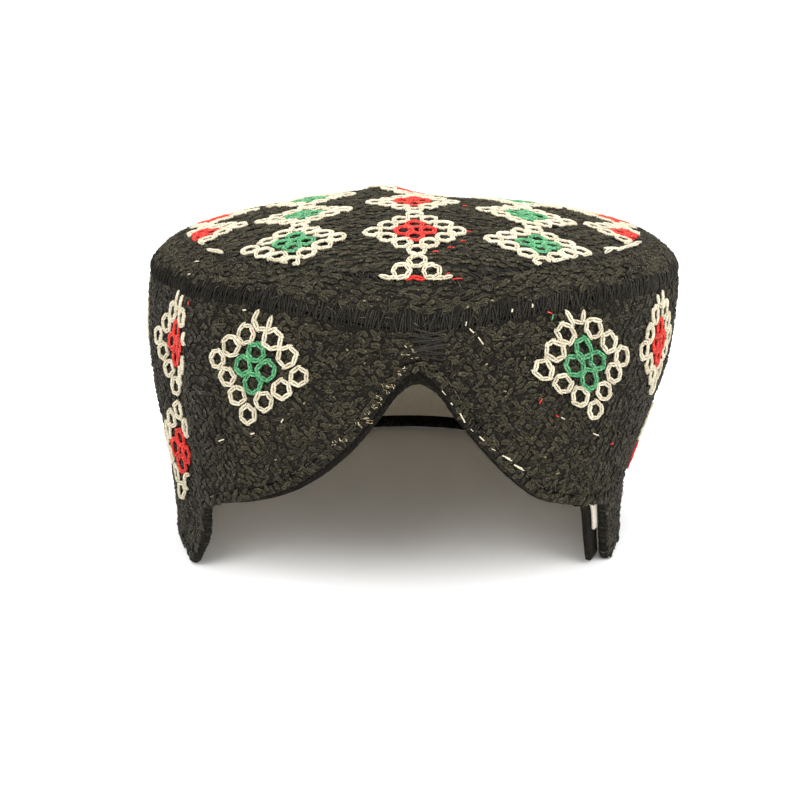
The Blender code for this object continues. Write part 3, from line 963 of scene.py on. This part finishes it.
def makeFibres():
    random = np.random.default_rng(fibres["seed"])
    for which, count, firstReach, secondReach, slot in fibres["patches"]:
        first = random.uniform(*firstReach, count)
        second = random.uniform(*secondReach, count)
        keep = np.full(count, True)
        if which == "crown":
            keep = np.hypot(first, second) < fibres["crownReach"]
        elif which == "wall":
            keep = second > rimHeight(first) + fibres["aboveRim"]
            keep &= second < creaseHeight(first) - fibres["belowSeam"]
        first = first[keep]
        second = second[keep]
        lift = fibres["lift"] + jitter(random, len(first), fibres["unevenLift"])
        place, outward, along = onSurface(which, first, second, lift)
        along = turnedAlong(outward, along, jitter(random, len(first), fibres["turn"]))
        reach = 1 + jitter(random, len(first), fibres["unevenReach"])
        sewThreads(which + "_fibres", barTree, (place, outward, along, reach), fibres, "dustyThread")


makeFibres()
print("fibres laid")

# one diamond: twelve pale rings round a clover of four coloured ones, each ring six or seven chain links
diamond = {"ringReach": 0.60, "unevenRing": 0.06, "centreReach": (0.84, 0.98), "unevenPlace": 0.06,
           "unevenTurn": 28.0, "unevenReach": 0.08, "sevenShare": 0.5, "lift": 0.00062,
           "unevenLift": 0.00016, "overlap": 1.44, "linkTurn": 13.0, "length": 0.003, "width": 0.00090,
           "thickness": 0.00078, "rise": 0.00020, "taper": 0.12, "turned": math.pi, "uneven": 0.14,
           "threadSeed": 5}


def diamondRings():
    rings = []
    corners = ((0, 3), (3, 0), (0, -3), (-3, 0))
    for k in range(4):
        start, end = corners[k], corners[(k + 1) % 4]
        for step in range(3):
            share = step / 3
            x, y = (near + (far - near) * share for near, far in zip(start, end))
            rings.append((x, y, False))
    wide, tall = diamond["centreReach"]
    rings += [(0, tall, True), (wide, 0, True), (0, -tall, True), (-wide, 0, True)]
    return rings


def diamondLinks(centre, acrossStep, upStep, random, keptEnds, squeezed=1.0):
    # acrossStep and upStep are one lattice step in the surface's own two directions; the rings of the
    # right half are narrower by the squeezed share, where the cloth turns away into a fold
    found = {False: [], True: []}
    for i, j, coloured in diamondRings():
        narrow = 1 + (squeezed - 1) * min(max(i / 2, 0), 1)
        uneven = diamond["unevenPlace"]
        across = i + random.uniform(-uneven, uneven)
        up = j + random.uniform(-uneven, uneven)
        size = diamond["ringReach"] * (1 + random.uniform(-diamond["unevenRing"], diamond["unevenRing"]))
        start = random.uniform(-diamond["unevenTurn"], diamond["unevenTurn"])
        count = 7 if random.random() < diamond["sevenShare"] else 6
        corners = []
        for k in range(count):
            angle = math.radians(360 / count * k + start)
            reach = size * (1 + random.uniform(-diamond["unevenReach"], diamond["unevenReach"]))
            p = across + reach * math.cos(angle) * narrow
            q = up + reach * math.sin(angle)
            corners.append((centre[0] + acrossStep[0] * p + upStep[0] * q,
                            centre[1] + acrossStep[1] * p + upStep[1] * q))
        for k in range(count):
            kept = keptEnds(corners[k], corners[(k + 1) % count])
            if kept:
                found[coloured].append(kept)
    return found


def linkSpots(which, ends, random):
    ends = np.array(ends)
    count = len(ends)
    middle = ends.mean(axis=1)
    lift = diamond["lift"] + jitter(random, count, diamond["unevenLift"])
    place, outward, unused = onSurface(which, middle[:, 0], middle[:, 1], lift)
    start = onSurface(which, ends[:, 0, 0], ends[:, 0, 1], lift)[0]
    end = onSurface(which, ends[:, 1, 0], ends[:, 1, 1], lift)[0]
    along = end - start
    length = np.linalg.norm(along, axis=-1)
    along = turnedAlong(outward, along / length[:, None], jitter(random, count, diamond["linkTurn"]))
    return place, outward, along, length * diamond["overlap"] / diamond["length"]


def sewDiamonds(which, name, links, random):
    for colour in ("pale", "green", "red"):
        spots = linkSpots(which, links[colour], random)
        sewThreads(name + "_" + colour, loopTree, spots, diamond, colour + "Thread")
        print("diamonds sewn:", name, colour, len(links[colour]), "links")


# columns of diamonds on the crown, tip to tip: x, half-width, colour of the clover and the tips, millimetres
crownDiamonds = {
    "columns": (
        (-68.5, 15.0, "red", (-43.5, -13.5, 17.5, 48.5, 79.5)),
        (-35.2, 15.25, "green", (-73.2, -42.0, -15.0, 18.0, 49.0, 80.0)),
        (0.0, 14.9, "red", (-97.0, -72.5, -36.8, -4.5, 28.0, 59.0, 90.0)),
        (35.6, 15.35, "green", (-73.0, -45.0, -16.5, 17.0, 48.0, 79.0)),
        (69.3, 15.0, "red", (-43.5, -13.5, 17.5, 48.5, 79.5)),
    ),
    "edgeLinks": (  # bits of the outermost diamonds along the disc's edge: x and y of both ends
        (-61.8, -49.6, -58.4, -53.4), (-60.3, -51.6, -57.2, -54.8), (56.2, -55.0, 58.8, -51.2),
        (56.8, -52.0, 61.0, -50.2), (60.6, -50.4, 63.6, -46.8), (63.4, -47.0, 66.4, -42.8),
        (66.2, -43.0, 68.6, -39.2), (68.4, -39.4, 70.6, -34.6),
    ),
    "reachX": 0.0760,
    "reachY": 0.0799,
    "leftOutBeyond": 1.02,
    "shortest": 0.0011,
    "seed": 3,
}


def makeCrownDiamonds():
    random = np.random.default_rng(crownDiamonds["seed"])
    links = {"pale": [], "green": [], "red": []}

    def drawnBack(*ends):
        # links that run over the disc's edge are drawn back to it
        out = [math.hypot(x / crownDiamonds["reachX"], y / crownDiamonds["reachY"]) for x, y in ends]
        if min(out) > crownDiamonds["leftOutBeyond"]:
            return None
        kept = [(x / max(far, 1), y / max(far, 1)) for (x, y), far in zip(ends, out)]
        apart = math.hypot(kept[0][0] - kept[1][0], kept[0][1] - kept[1][1])
        return kept if apart > crownDiamonds["shortest"] else None

    for x, halfWidth, colour, tips in crownDiamonds["columns"]:
        for low, high in zip(tips[:-1], tips[1:]):
            wide = halfWidth / 1000 / (3 + diamond["ringReach"])
            long = (high - low) / 2000 / (3 + diamond["ringReach"])
            centre = (x / 1000, (low + high) / 2000)
            found = diamondLinks(centre, (wide, 0.0), (0.0, long), random, drawnBack)
            links["pale"] += found[False]
            links[colour] += found[True]
    for x0, y0, x1, y1 in crownDiamonds["edgeLinks"]:
        links["pale"].append([(x0 / 1000, y0 / 1000), (x1 / 1000, y1 / 1000)])
    sewDiamonds("crown", "crown_diamonds", links, random)


makeCrownDiamonds()

# diamonds round the wall: azimuth, height, turn and rise of one step across, turn and rise of one step up,
# colour, and how narrow the rings of the right half are
wallDiamonds = {
    "nearPlaces": (
        (-29.85, 74.3, 2.97, -0.22, 0.58, 4.68, "green", 1.0),
        (31.95, 75.2, 3.08, 0.0, -0.97, 4.89, "green", 1.0),
        (-53.7, 74.9, 2.9, -0.07, 1.2, 4.92, "red", 0.55),
        (55.1, 75.1, 2.25, 0.15, -0.32, 4.75, "red", 1.0),
        (-60.3, 36.6, 2.63, -0.25, 0.75, 5.1, "red", 0.6),
        (66.8, 33.6, 2.3, 0.15, 0.0, 4.6, "red", 1.0),
    ),
    "farPlaces": (  # azimuth, height and colour of the plain ones round the sides and back
        (-86.0, 75.0, "green"), (91.0, 75.0, "green"), (-92.0, 40.0, "green"), (94.0, 39.0, "green"),
        (-117.0, 75.0, "red"), (121.0, 75.0, "red"), (-122.0, 40.0, "red"), (124.0, 39.0, "red"),
        (-148.0, 75.0, "green"), (151.0, 75.0, "green"), (-151.0, 40.0, "green"), (153.0, 39.0, "green"),
        (-179.0, 75.0, "red"), (-179.0, 40.0, "red"),
    ),
    "farWide": 3.0,
    "farTall": {"upper": 4.7, "lower": 4.6},
    "upperFrom": 60.0,
    # heights, and azimuths left of which the wall shows, up to where the fold ends
    "foldedAway": ((0.0, 21.0, 25.0, 37.0, 46.0, 53.0, 56.0, 95.0),
                   (-59.5, -59.5, -59.0, -56.8, -54.8, -53.5, -47.0, -47.0)),
    "foldEnd": -42.5,
    "pulledOut": (55.0, 73.0, 0.0395),  # azimuths between which no pale link is left below that height
    "belowSeam": 0.0013,
    "aboveRim": 0.0036,
    "seed": 9,
}


def midway(ends):
    return (ends[0][0] + ends[1][0]) / 2, (ends[0][1] + ends[1][1]) / 2


def makeWallDiamonds():
    random = np.random.default_rng(wallDiamonds["seed"])
    links = {"pale": [], "green": [], "red": []}

    def onWall(*ends):
        azimuth, height = midway(ends)
        low = float(rimHeight(azimuth)) + wallDiamonds["aboveRim"]
        fold = np.interp(height * 1000, *wallDiamonds["foldedAway"])
        if fold < azimuth < wallDiamonds["foldEnd"]:
            return None
        return ends if low < height < float(creaseHeight(azimuth)) - wallDiamonds["belowSeam"] else None

    def stillThere(link):
        near, far, below = wallDiamonds["pulledOut"]
        azimuth, height = midway(link)
        return height > below or not near < azimuth < far

    places = list(wallDiamonds["nearPlaces"])
    for azimuth, height, colour in wallDiamonds["farPlaces"]:
        tall = wallDiamonds["farTall"]["upper" if height > wallDiamonds["upperFrom"] else "lower"]
        places.append((azimuth, height, wallDiamonds["farWide"], 0.0, 0.0, tall, colour, 1.0))
    for azimuth, height, wide, rise, lean, tall, colour, squeezed in places:
        centre = (azimuth, height / 1000)
        found = diamondLinks(centre, (wide, rise / 1000), (lean, tall / 1000), random, onWall, squeezed)
        links["pale"] += [link for link in found[False] if stillThere(link)]
        links[colour] += found[True]
    sewDiamonds("wall", "wall_diamonds", links, random)


makeWallDiamonds()


def barSpots(start, end, outwardHint, unit):
    # a bar from start to end, its hump towards the outward hint, drawn out from a bar of the unit length
    along = end - start
    length = np.linalg.norm(along, axis=-1, keepdims=True)
    along = along / length
    outward = outwardHint - along * np.sum(outwardHint * along, axis=-1, keepdims=True)
    outward /= np.linalg.norm(outward, axis=-1, keepdims=True)
    return (start + end) / 2, outward, along, length[:, 0] / unit


# fine upright threads that bind the border to the wall
seamWhip = {"pitch": 0.00045, "radius": 0.0905, "length": 0.004, "thickness": 0.00038, "rise": 0.0004,
            "slant": 0.25, "unevenSlant": 0.6, "unevenTurn": 0.14, "lift": 0.0004, "unevenLift": 0.00022,
            "lowLift": 0.6, "unevenTop": 0.0011, "highest": 0.0896, "unevenLow": 0.0003, "seed": 41,
            "bendPoints": 3, "uneven": 0.3, "threadSeed": 7}


def makeSeamWhip():
    random = np.random.default_rng(seamWhip["seed"])
    count = int(2 * math.pi * seamWhip["radius"] / seamWhip["pitch"])
    turns = np.arange(count) * 360.0 / count + jitter(random, count, seamWhip["unevenTurn"])
    upper = seamThreadTop(turns) + jitter(random, count, seamWhip["unevenTop"])
    upper = np.minimum(upper, seamWhip["highest"])
    slant = seamWhip["slant"] + jitter(random, count, seamWhip["unevenSlant"])
    lift = seamWhip["lift"] + jitter(random, count, seamWhip["unevenLift"])
    top, topOut, unused = onSurface("border", turns + slant, upper, lift)
    lower = creaseHeight(turns - slant) + jitter(random, count, seamWhip["unevenLow"])
    bottom, bottomOut, unused = onSurface("wall", turns - slant, lower, lift * seamWhip["lowLift"])
    spots = barSpots(top, bottom, topOut + bottomOut, seamWhip["length"])
    sewThreads("seam_whip", barTree, spots, seamWhip, "smoothBlack")


makeSeamWhip()

# short stitches that catch the edge of the disc to the border
discWhip = {"pitch": 0.0012, "radius": 0.0802, "reach": 0.0009, "length": 0.0025, "thickness": 0.00042,
            "rise": 0.0003, "slant": 0.6, "unevenSlant": 0.6, "unevenTurn": 0.3, "lift": 0.00035,
            "share": 0.7, "seed": 43, "bendPoints": 4, "uneven": 0.2, "threadSeed": 8}


def makeDiscWhip():
    random = np.random.default_rng(discWhip["seed"])
    count = int(2 * math.pi * capShape["discRadius"] / discWhip["pitch"])
    turns = np.arange(count) * 360.0 / count + jitter(random, count, discWhip["unevenTurn"])
    turns = turns[random.random(count) < discWhip["share"]]
    count = len(turns)
    slant = discWhip["slant"] + jitter(random, count, discWhip["unevenSlant"])
    lift = np.full(count, discWhip["lift"])
    radius = np.full(count, discWhip["radius"])
    inner, innerOut, unused = onSurface("border", turns - slant, radius - discWhip["reach"], lift)
    outer, outerOut, unused = onSurface("border", turns + slant, radius + discWhip["reach"], lift)
    spots = barSpots(inner, outer, innerOut + outerOut, discWhip["length"])
    sewThreads("disc_whip", barTree, spots, discWhip, "smoothBlack")


makeDiscWhip()
print("seams whipped")

# black overcast stitches all along the hem
hemWhip = {"pitch": 0.00140, "length": 0.0032, "width": 0.0031, "thickness": 0.00060, "rise": 0.0,
           "taper": 0.0, "slant": 18.0, "unevenSlant": 22.0, "unevenTurn": 0.25, "tangentTurn": 0.25,
           "fineTurns": 7201, "seed": 47, "uneven": 0.09, "threadSeed": 9}


def onHem(turns):
    return wallPoint(*aboveRim(turns, hemWhip["width"] / 2), wallCloth["thickness"] / 2)


def hemSpots(turns, slant):
    place = onHem(turns)
    tangent = onHem(turns + hemWhip["tangentTurn"]) - onHem(turns - hemWhip["tangentTurn"])
    tangent /= np.linalg.norm(tangent, axis=-1, keepdims=True)
    outward = wallPoint(*aboveRim(turns, hemWhip["width"] / 2), 0.0) - place
    outward /= np.linalg.norm(outward, axis=-1, keepdims=True)
    outward -= tangent * np.sum(outward * tangent, axis=-1, keepdims=True)
    outward /= np.linalg.norm(outward, axis=-1, keepdims=True)
    angle = np.radians(slant)[:, None]
    normal = tangent * np.cos(angle) + np.cross(outward, tangent) * np.sin(angle)
    return place, normal, outward, np.ones(len(turns))


def evenHemTurns(pitch):
    fine = np.linspace(0.0, 360.0, hemWhip["fineTurns"])
    path = wallPoint(fine, rimHeight(fine), 0.0)
    walked = np.concatenate(((0.0,), np.cumsum(np.linalg.norm(np.diff(path, axis=0), axis=-1))))
    return np.interp(np.arange(0.0, walked[-1], pitch), walked, fine)


def makeHemWhip():
    random = np.random.default_rng(hemWhip["seed"])
    turns = evenHemTurns(hemWhip["pitch"])
    turns = turns + jitter(random, len(turns), hemWhip["unevenTurn"])
    slant = hemWhip["slant"] + jitter(random, len(turns), hemWhip["unevenSlant"])
    sewThreads("hem_whip", loopTree, hemSpots(turns, slant), hemWhip, "blackThread")


makeHemWhip()

# pale dashes along the right of the arch, and frayed sparkles along its left, in degrees and millimetres
archThreads = {
    "dashes": (  # azimuth, height, turn, length and thickness
        (4.6, 70.5, -50.0, 1.5, 0.23), (6.0, 67.3, -50.0, 0.7, 0.38), (7.9, 63.2, -62.0, 2.9, 0.46),
        (9.6, 59.5, -50.0, 1.0, 0.20), (11.4, 56.9, -45.0, 1.8, 0.34), (13.6, 53.4, -29.0, 1.3, 0.22),
        (16.0, 50.8, -27.0, 2.5, 0.32), (16.5, 50.1, -32.0, 2.2, 0.32), (18.4, 47.5, -29.0, 2.9, 0.35),
        (18.9, 46.7, -31.0, 2.5, 0.32)),
    "sparkles": (  # azimuth, height and how many bits lie there
        (-3.0, 75.8, 4), (-4.1, 72.0, 6), (-5.2, 71.4, 5), (-6.5, 68.3, 6), (-7.3, 66.0, 5), (-8.5, 64.7, 6),
        (-9.1, 62.7, 5), (-10.2, 61.1, 6), (-8.2, 61.8, 5), (-12.9, 56.3, 6), (-14.4, 55.1, 4),
        (-1.7, 80.7, 2), (-1.0, 82.1, 2), (-2.2, 77.7, 3), (-0.7, 79.9, 2), (-1.5, 84.0, 2)),
    "dashLift": 0.85,
    "spread": (0.35, 0.55),
    "turns": (-85.0, 15.0),
    "lengths": (0.4, 1.1),
    "thicknesses": (0.13, 0.26),
    "lifts": (0.45, 0.9),
    "thickFrom": 0.28,
    "paleShare": 0.25,
    "seed": 83,
    "length": 0.001,
    "rise": 0.00015,
    "threadSides": 4,
    "uneven": 0.2,
    "threadSeed": 29,
}


def makeArchThreads():
    random = np.random.default_rng(archThreads["seed"])
    dashes = [(*dash, archThreads["dashLift"]) for dash in archThreads["dashes"]]
    bits = {"paleThread": dashes, "goldThread": []}
    aside, above = archThreads["spread"]
    spans = [archThreads[name] for name in ("turns", "lengths", "thicknesses", "lifts")]
    for azimuth, height, count in archThreads["sparkles"]:
        for unused in range(count):
            thread = "paleThread" if random.random() < archThreads["paleShare"] else "goldThread"
            spot = (azimuth + random.normal(0.0, aside), height + random.normal(0.0, above))
            bits[thread].append((*spot, *(random.uniform(*span) for span in spans)))
    for thread, rows in bits.items():
        azimuth, height, turn, length, thickness, lift = np.array(rows).T
        place, outward, along = onSurface("wall", azimuth, height / 1000, lift / 1000)
        along = turnedAlong(outward, along, turn)
        thick = thickness >= archThreads["thickFrom"]
        for label, mine in (("_fine", ~thick), ("_thick", thick)):
            if not mine.any():
                continue
            look = {**archThreads, "thickness": thickness[mine].mean() / 1000}
            spots = (place[mine], outward[mine], along[mine], length[mine])
            name = "arch_" + thread.replace("Thread", "") + label
            sewThreads(name, barTree, spots, look, thread)


makeArchThreads()
print("hem overcast")

# black facing turned in behind the arch's edge; the strip that hangs a little below it is a dark sheet put in
# as painted shade under the edge: azimuth, drop in millimetres
archShadeFacing = {"drops": ((-42.0, 0.6), (-34.0, 1.2), (-25.0, 1.9), (-15.0, 2.8), (-8.0, 3.4), (-3.0, 3.8),
                        (0.0, 4.2), (2.5, 3.4), (5.0, 2.2), (9.0, 1.2), (16.0, 0.8), (30.0, 0.6),
                        (43.5, 0.8)),
              "step": 0.7, "rows": 6, "inset": 0.0028, "thickness": 0.0012, "above": 0.0030}


def makeArchFacing():
    places, drops = np.array(archShadeFacing["drops"]).T
    turns = np.arange(places[0], places[-1], archShadeFacing["step"])
    # painted shade: the sheet hangs below the rim by the drops, as far as the shade under the arch's edge
    # reaches
    low = rimHeight(turns) - np.interp(turns, places, drops) / 1000
    high = rimHeight(turns) + archShadeFacing["above"]
    shares = np.linspace(0.0, 1.0, archShadeFacing["rows"])[:, None]
    points = wallPoint(turns[None, :] + 0 * shares, low + (high - low) * shares, archShadeFacing["inset"])
    piece = gridCloth("arch_facing", points, blackGround, False, thickness=archShadeFacing["thickness"])
    finishFacing(piece, "hem_cloth")


makeArchFacing()

# the black facing inside the right tail, and the strip of lining beside it
tailFacing = {"heights": (0.0255, 0.0235, 0.0205, 0.0170, 0.0135, 0.0100, 0.0065, 0.0035, 0.0010),
              "edgeFrom": 42.0, "edgeTo": 53.5, "unroll": 0.0014,
              "black": {"turns": (-3.6, -2.6, -1.4, 0.0, 1.6, 3.0), "inset": 0.0042, "thickness": 0.0016},
              "pale": {"turns": (-1.7, -0.9, 0.0, 1.0), "inset": 0.0030, "thickness": 0.0008, "rows": 5}}


def makeTailFacing():
    fine = np.linspace(tailFacing["edgeFrom"], tailFacing["edgeTo"], 400)
    for name, material in (("black", blackGround), ("pale", liningWeave)):
        part = tailFacing[name]
        heights = np.array(tailFacing["heights"][:part.get("rows", 9)])
        cut = np.interp(-heights, -rimHeight(fine), fine)
        turns = cut[:, None] + np.array(part["turns"])[None, :]
        points = wallPoint(turns, heights[:, None], part["inset"])
        sizes = np.stack((turns * tailFacing["unroll"], heights[:, None] + 0 * turns), axis=-1)
        piece = gridCloth("tail_facing_" + name, points, material, False, sizes, part["thickness"])
        finishFacing(piece, "lining_cloth" if name == "pale" else "hem_cloth")


makeTailFacing()
print("tail faced")

# threads wrapped over the meeting ends of the wall
frontJoin = {"low": 0.0806, "high": 0.0872, "count": 19, "left": -1.2, "right": 4.6, "length": 0.009,
             "thickness": 0.00048, "rise": 0.0005, "tilt": 0.0002, "unevenTilt": 0.0013, "lift": 0.0003,
             "unevenLift": 0.0002, "unevenEnd": 0.7, "seed": 53, "bendPoints": 8, "threadSides": 6,
             "uneven": 0.25, "threadSeed": 12}


def makeFrontJoin():
    random = np.random.default_rng(frontJoin["seed"])
    count = frontJoin["count"]
    share = np.arange(count) / (count - 1)
    height = frontJoin["low"] + (frontJoin["high"] - frontJoin["low"]) * share
    tilt = frontJoin["tilt"] + jitter(random, count, frontJoin["unevenTilt"])
    lift = frontJoin["lift"] + jitter(random, count, frontJoin["unevenLift"])
    start = frontJoin["left"] + jitter(random, count, frontJoin["unevenEnd"])
    left = onSurface("wall", start, height - tilt, lift)[0]
    end = frontJoin["right"] + jitter(random, count, frontJoin["unevenEnd"])
    right = onSurface("wall", end, height + tilt, lift)[0]
    hint = np.tile(np.array((0.0, -1.0, 0.0)), (count, 1))
    spots = barSpots(left, right, hint, frontJoin["length"])
    piece = sewThreads("join_threads", barTree, spots, frontJoin, "smoothBlack")
    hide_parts("front_join")


makeFrontJoin()
print("join wrapped")

# loose ends of thread that lie on the cloth: surface, place, turn, length in millimetres
looseEnds = {
    "paleThread": (
        ("wall", -24.4, 60.0, 60, 1.3), ("wall", -30.9, 54.6, 20, 1.4), ("wall", -38.9, 50.0, 25, 2.6),
        ("wall", 8.3, 89.4, 80, 1.1), ("wall", 9.3, 87.4, -45, 1.6), ("wall", 10.9, 84.6, -55, 2.4),
        ("wall", 27.3, 60.0, -30, 1.4), ("wall", 36.2, 52.3, -25, 2.7), ("wall", -31.9, 90.4, 10, 1.0),
        ("border", -49.7, 0.0848, 20, 1.9), ("border", 4.0, 0.0806, 0, 2.4),
        ("border", 16.6, 0.0894, 60, 0.9), ("border", 20.4, 0.0894, 70, 1.0),
        ("border", -47.8, 0.0883, 40, 0.8),
    ),
    "redThread": (
        ("wall", 22.4, 66.1, 60, 1.5), ("wall", 26.0, 61.0, -40, 0.9), ("wall", 42.1, 47.1, 10, 1.2),
        ("wall", 23.6, 91.0, -20, 1.4), ("wall", -30.1, 84.4, 85, 2.4), ("wall", -45.9, 89.6, 80, 1.2),
        ("border", 7.9, 0.0808, 0, 2.6), ("crown", 16.3, -27.0, 10, 1.6), ("crown", 15.5, -54.5, 30, 1.6),
        ("crown", 13.5, -62.0, 15, 1.4), ("crown", 9.8, -67.0, 5, 2.0), ("crown", 5.4, -70.0, 0, 1.6),
        ("crown", 6.2, -77.0, 60, 1.3), ("crown", 8.4, -78.5, 40, 1.4), ("crown", 38.0, -67.5, 20, 1.2),
    ),
    "greenThread": (("wall", 24.1, 89.6, 75, 1.6), ("crown", 37.0, -68.5, 0, 1.4)),
    "goldThread": (
        ("wall", 27.3, 42.9, 15, 1.0), ("wall", 12.0, 78.0, 30, 0.7), ("wall", -12.0, 82.0, -30, 0.7),
        ("wall", -9.0, 78.5, 60, 0.6), ("wall", 15.5, 70.0, -20, 0.7), ("wall", -20.0, 66.0, 35, 0.7),
        ("wall", 19.0, 79.0, 50, 0.6), ("wall", 24.0, 49.0, -20, 0.7), ("wall", -26.0, 48.0, 10, 0.6),
        ("border", 9.0, 0.0872, 20, 0.8), ("border", 13.5, 0.0868, -30, 0.8),
        ("border", -9.5, 0.0860, 10, 0.7),
    ),
}
looseThread = {"length": 0.002, "thickness": 0.00040, "rise": 0.0002, "lift": 0.00062, "bendPoints": 5,
               "threadSides": 5, "uneven": 0.2, "threadSeed": 15}


def makeLooseEnds():
    for thread, ends in looseEnds.items():
        spots = [[], [], [], []]
        for which, first, second, turn, length in ends:
            first = first / 1000 if which == "crown" else first
            second = second if which == "border" else second / 1000
            place, outward, along = onSurface(which, [first], [second], [looseThread["lift"]])
            along = turnedAlong(outward, along, np.array((float(turn),)))
            for store, item in zip(spots, (place[0], outward[0], along[0], length / 2)):
                store.append(item)
        name = "loose_ends_" + thread.replace("Thread", "")
        sewThreads(name, barTree, [np.array(spot) for spot in spots], looseThread, thread)


makeLooseEnds()
print("loose ends laid")

# a plain pale floor that runs out of sight, and soft studio light
studio = {"floorSize": 6.0, "floorHeight": -0.0004, "floorColour": (0.93, 0.93, 0.93), "worldLight": 1.1,
          "aim": (0.0, 0.0, 0.06),
          "lights": (  # place, size and power of each soft light, all aimed at the cap
              ((-0.45, -0.75, 0.95), 0.70, 9.0),
              ((0.60, -0.55, 0.80), 0.70, 6.5),
              ((0.05, 0.35, 1.10), 0.80, 7.0),
          )}


def makeStudio():
    mesh = bpy.data.meshes.new("pale_floor")
    half = studio["floorSize"] / 2
    height = studio["floorHeight"]
    corners = [(x * half, y * half, height) for x, y in ((-1, -1), (1, -1), (1, 1), (-1, 1))]
    mesh.from_pydata(corners, [], [(0, 1, 2, 3)])
    floor = bpy.data.objects.new("pale_floor", mesh)
    scene.collection.objects.link(floor)
    material = bpy.data.materials.new("paleFloor")
    material.use_nodes = True
    shader = material.node_tree.nodes["Principled BSDF"]
    shader.inputs["Base Color"].default_value = (*studio["floorColour"], 1.0)
    shader.inputs["Roughness"].default_value = 0.9
    mesh.materials.append(material)
    world = bpy.data.worlds.new("studio")
    scene.world = world
    world.use_nodes = True
    sky = world.node_tree.nodes["Background"]
    sky.inputs["Color"].default_value = (1.0, 1.0, 1.0, 1.0)
    sky.inputs["Strength"].default_value = studio["worldLight"]
    for number, (place, size, power) in enumerate(studio["lights"]):
        lamp = bpy.data.lights.new("softLight" + str(number), "AREA")
        lamp.size = size
        lamp.energy = power
        holder = bpy.data.objects.new("softLight" + str(number), lamp)
        scene.collection.objects.link(holder)
        holder.location = place
        away = np.array(place) - np.array(studio["aim"])
        level = math.hypot(away[0], away[1])
        holder.rotation_euler = (math.atan2(level, away[2]), 0.0, math.atan2(away[0], -away[1]))


makeStudio()

# camera at the photo's angle
view = {"place": (-0.0054, -0.350, 0.149), "pitch": 0.298, "lens": 45.34, "sensor": 36.0, "clipStart": 0.01}
camera = bpy.data.cameras.new("photoCamera")
camera.lens = view["lens"]
camera.sensor_width = view["sensor"]
camera.clip_start = view["clipStart"]
cameraHolder = bpy.data.objects.new("photoCamera", camera)
cameraHolder.location = view["place"]
cameraHolder.rotation_euler = (math.pi / 2 - view["pitch"], 0.0, 0.0)
scene.collection.objects.link(cameraHolder)
scene.camera = cameraHolder
print("studio and camera set")

meshes = [piece.data for piece in scene.objects if piece.type == "MESH"]
print("triangles in the scene:", sum(len(face.vertices) - 2 for mesh in meshes for face in mesh.polygons))
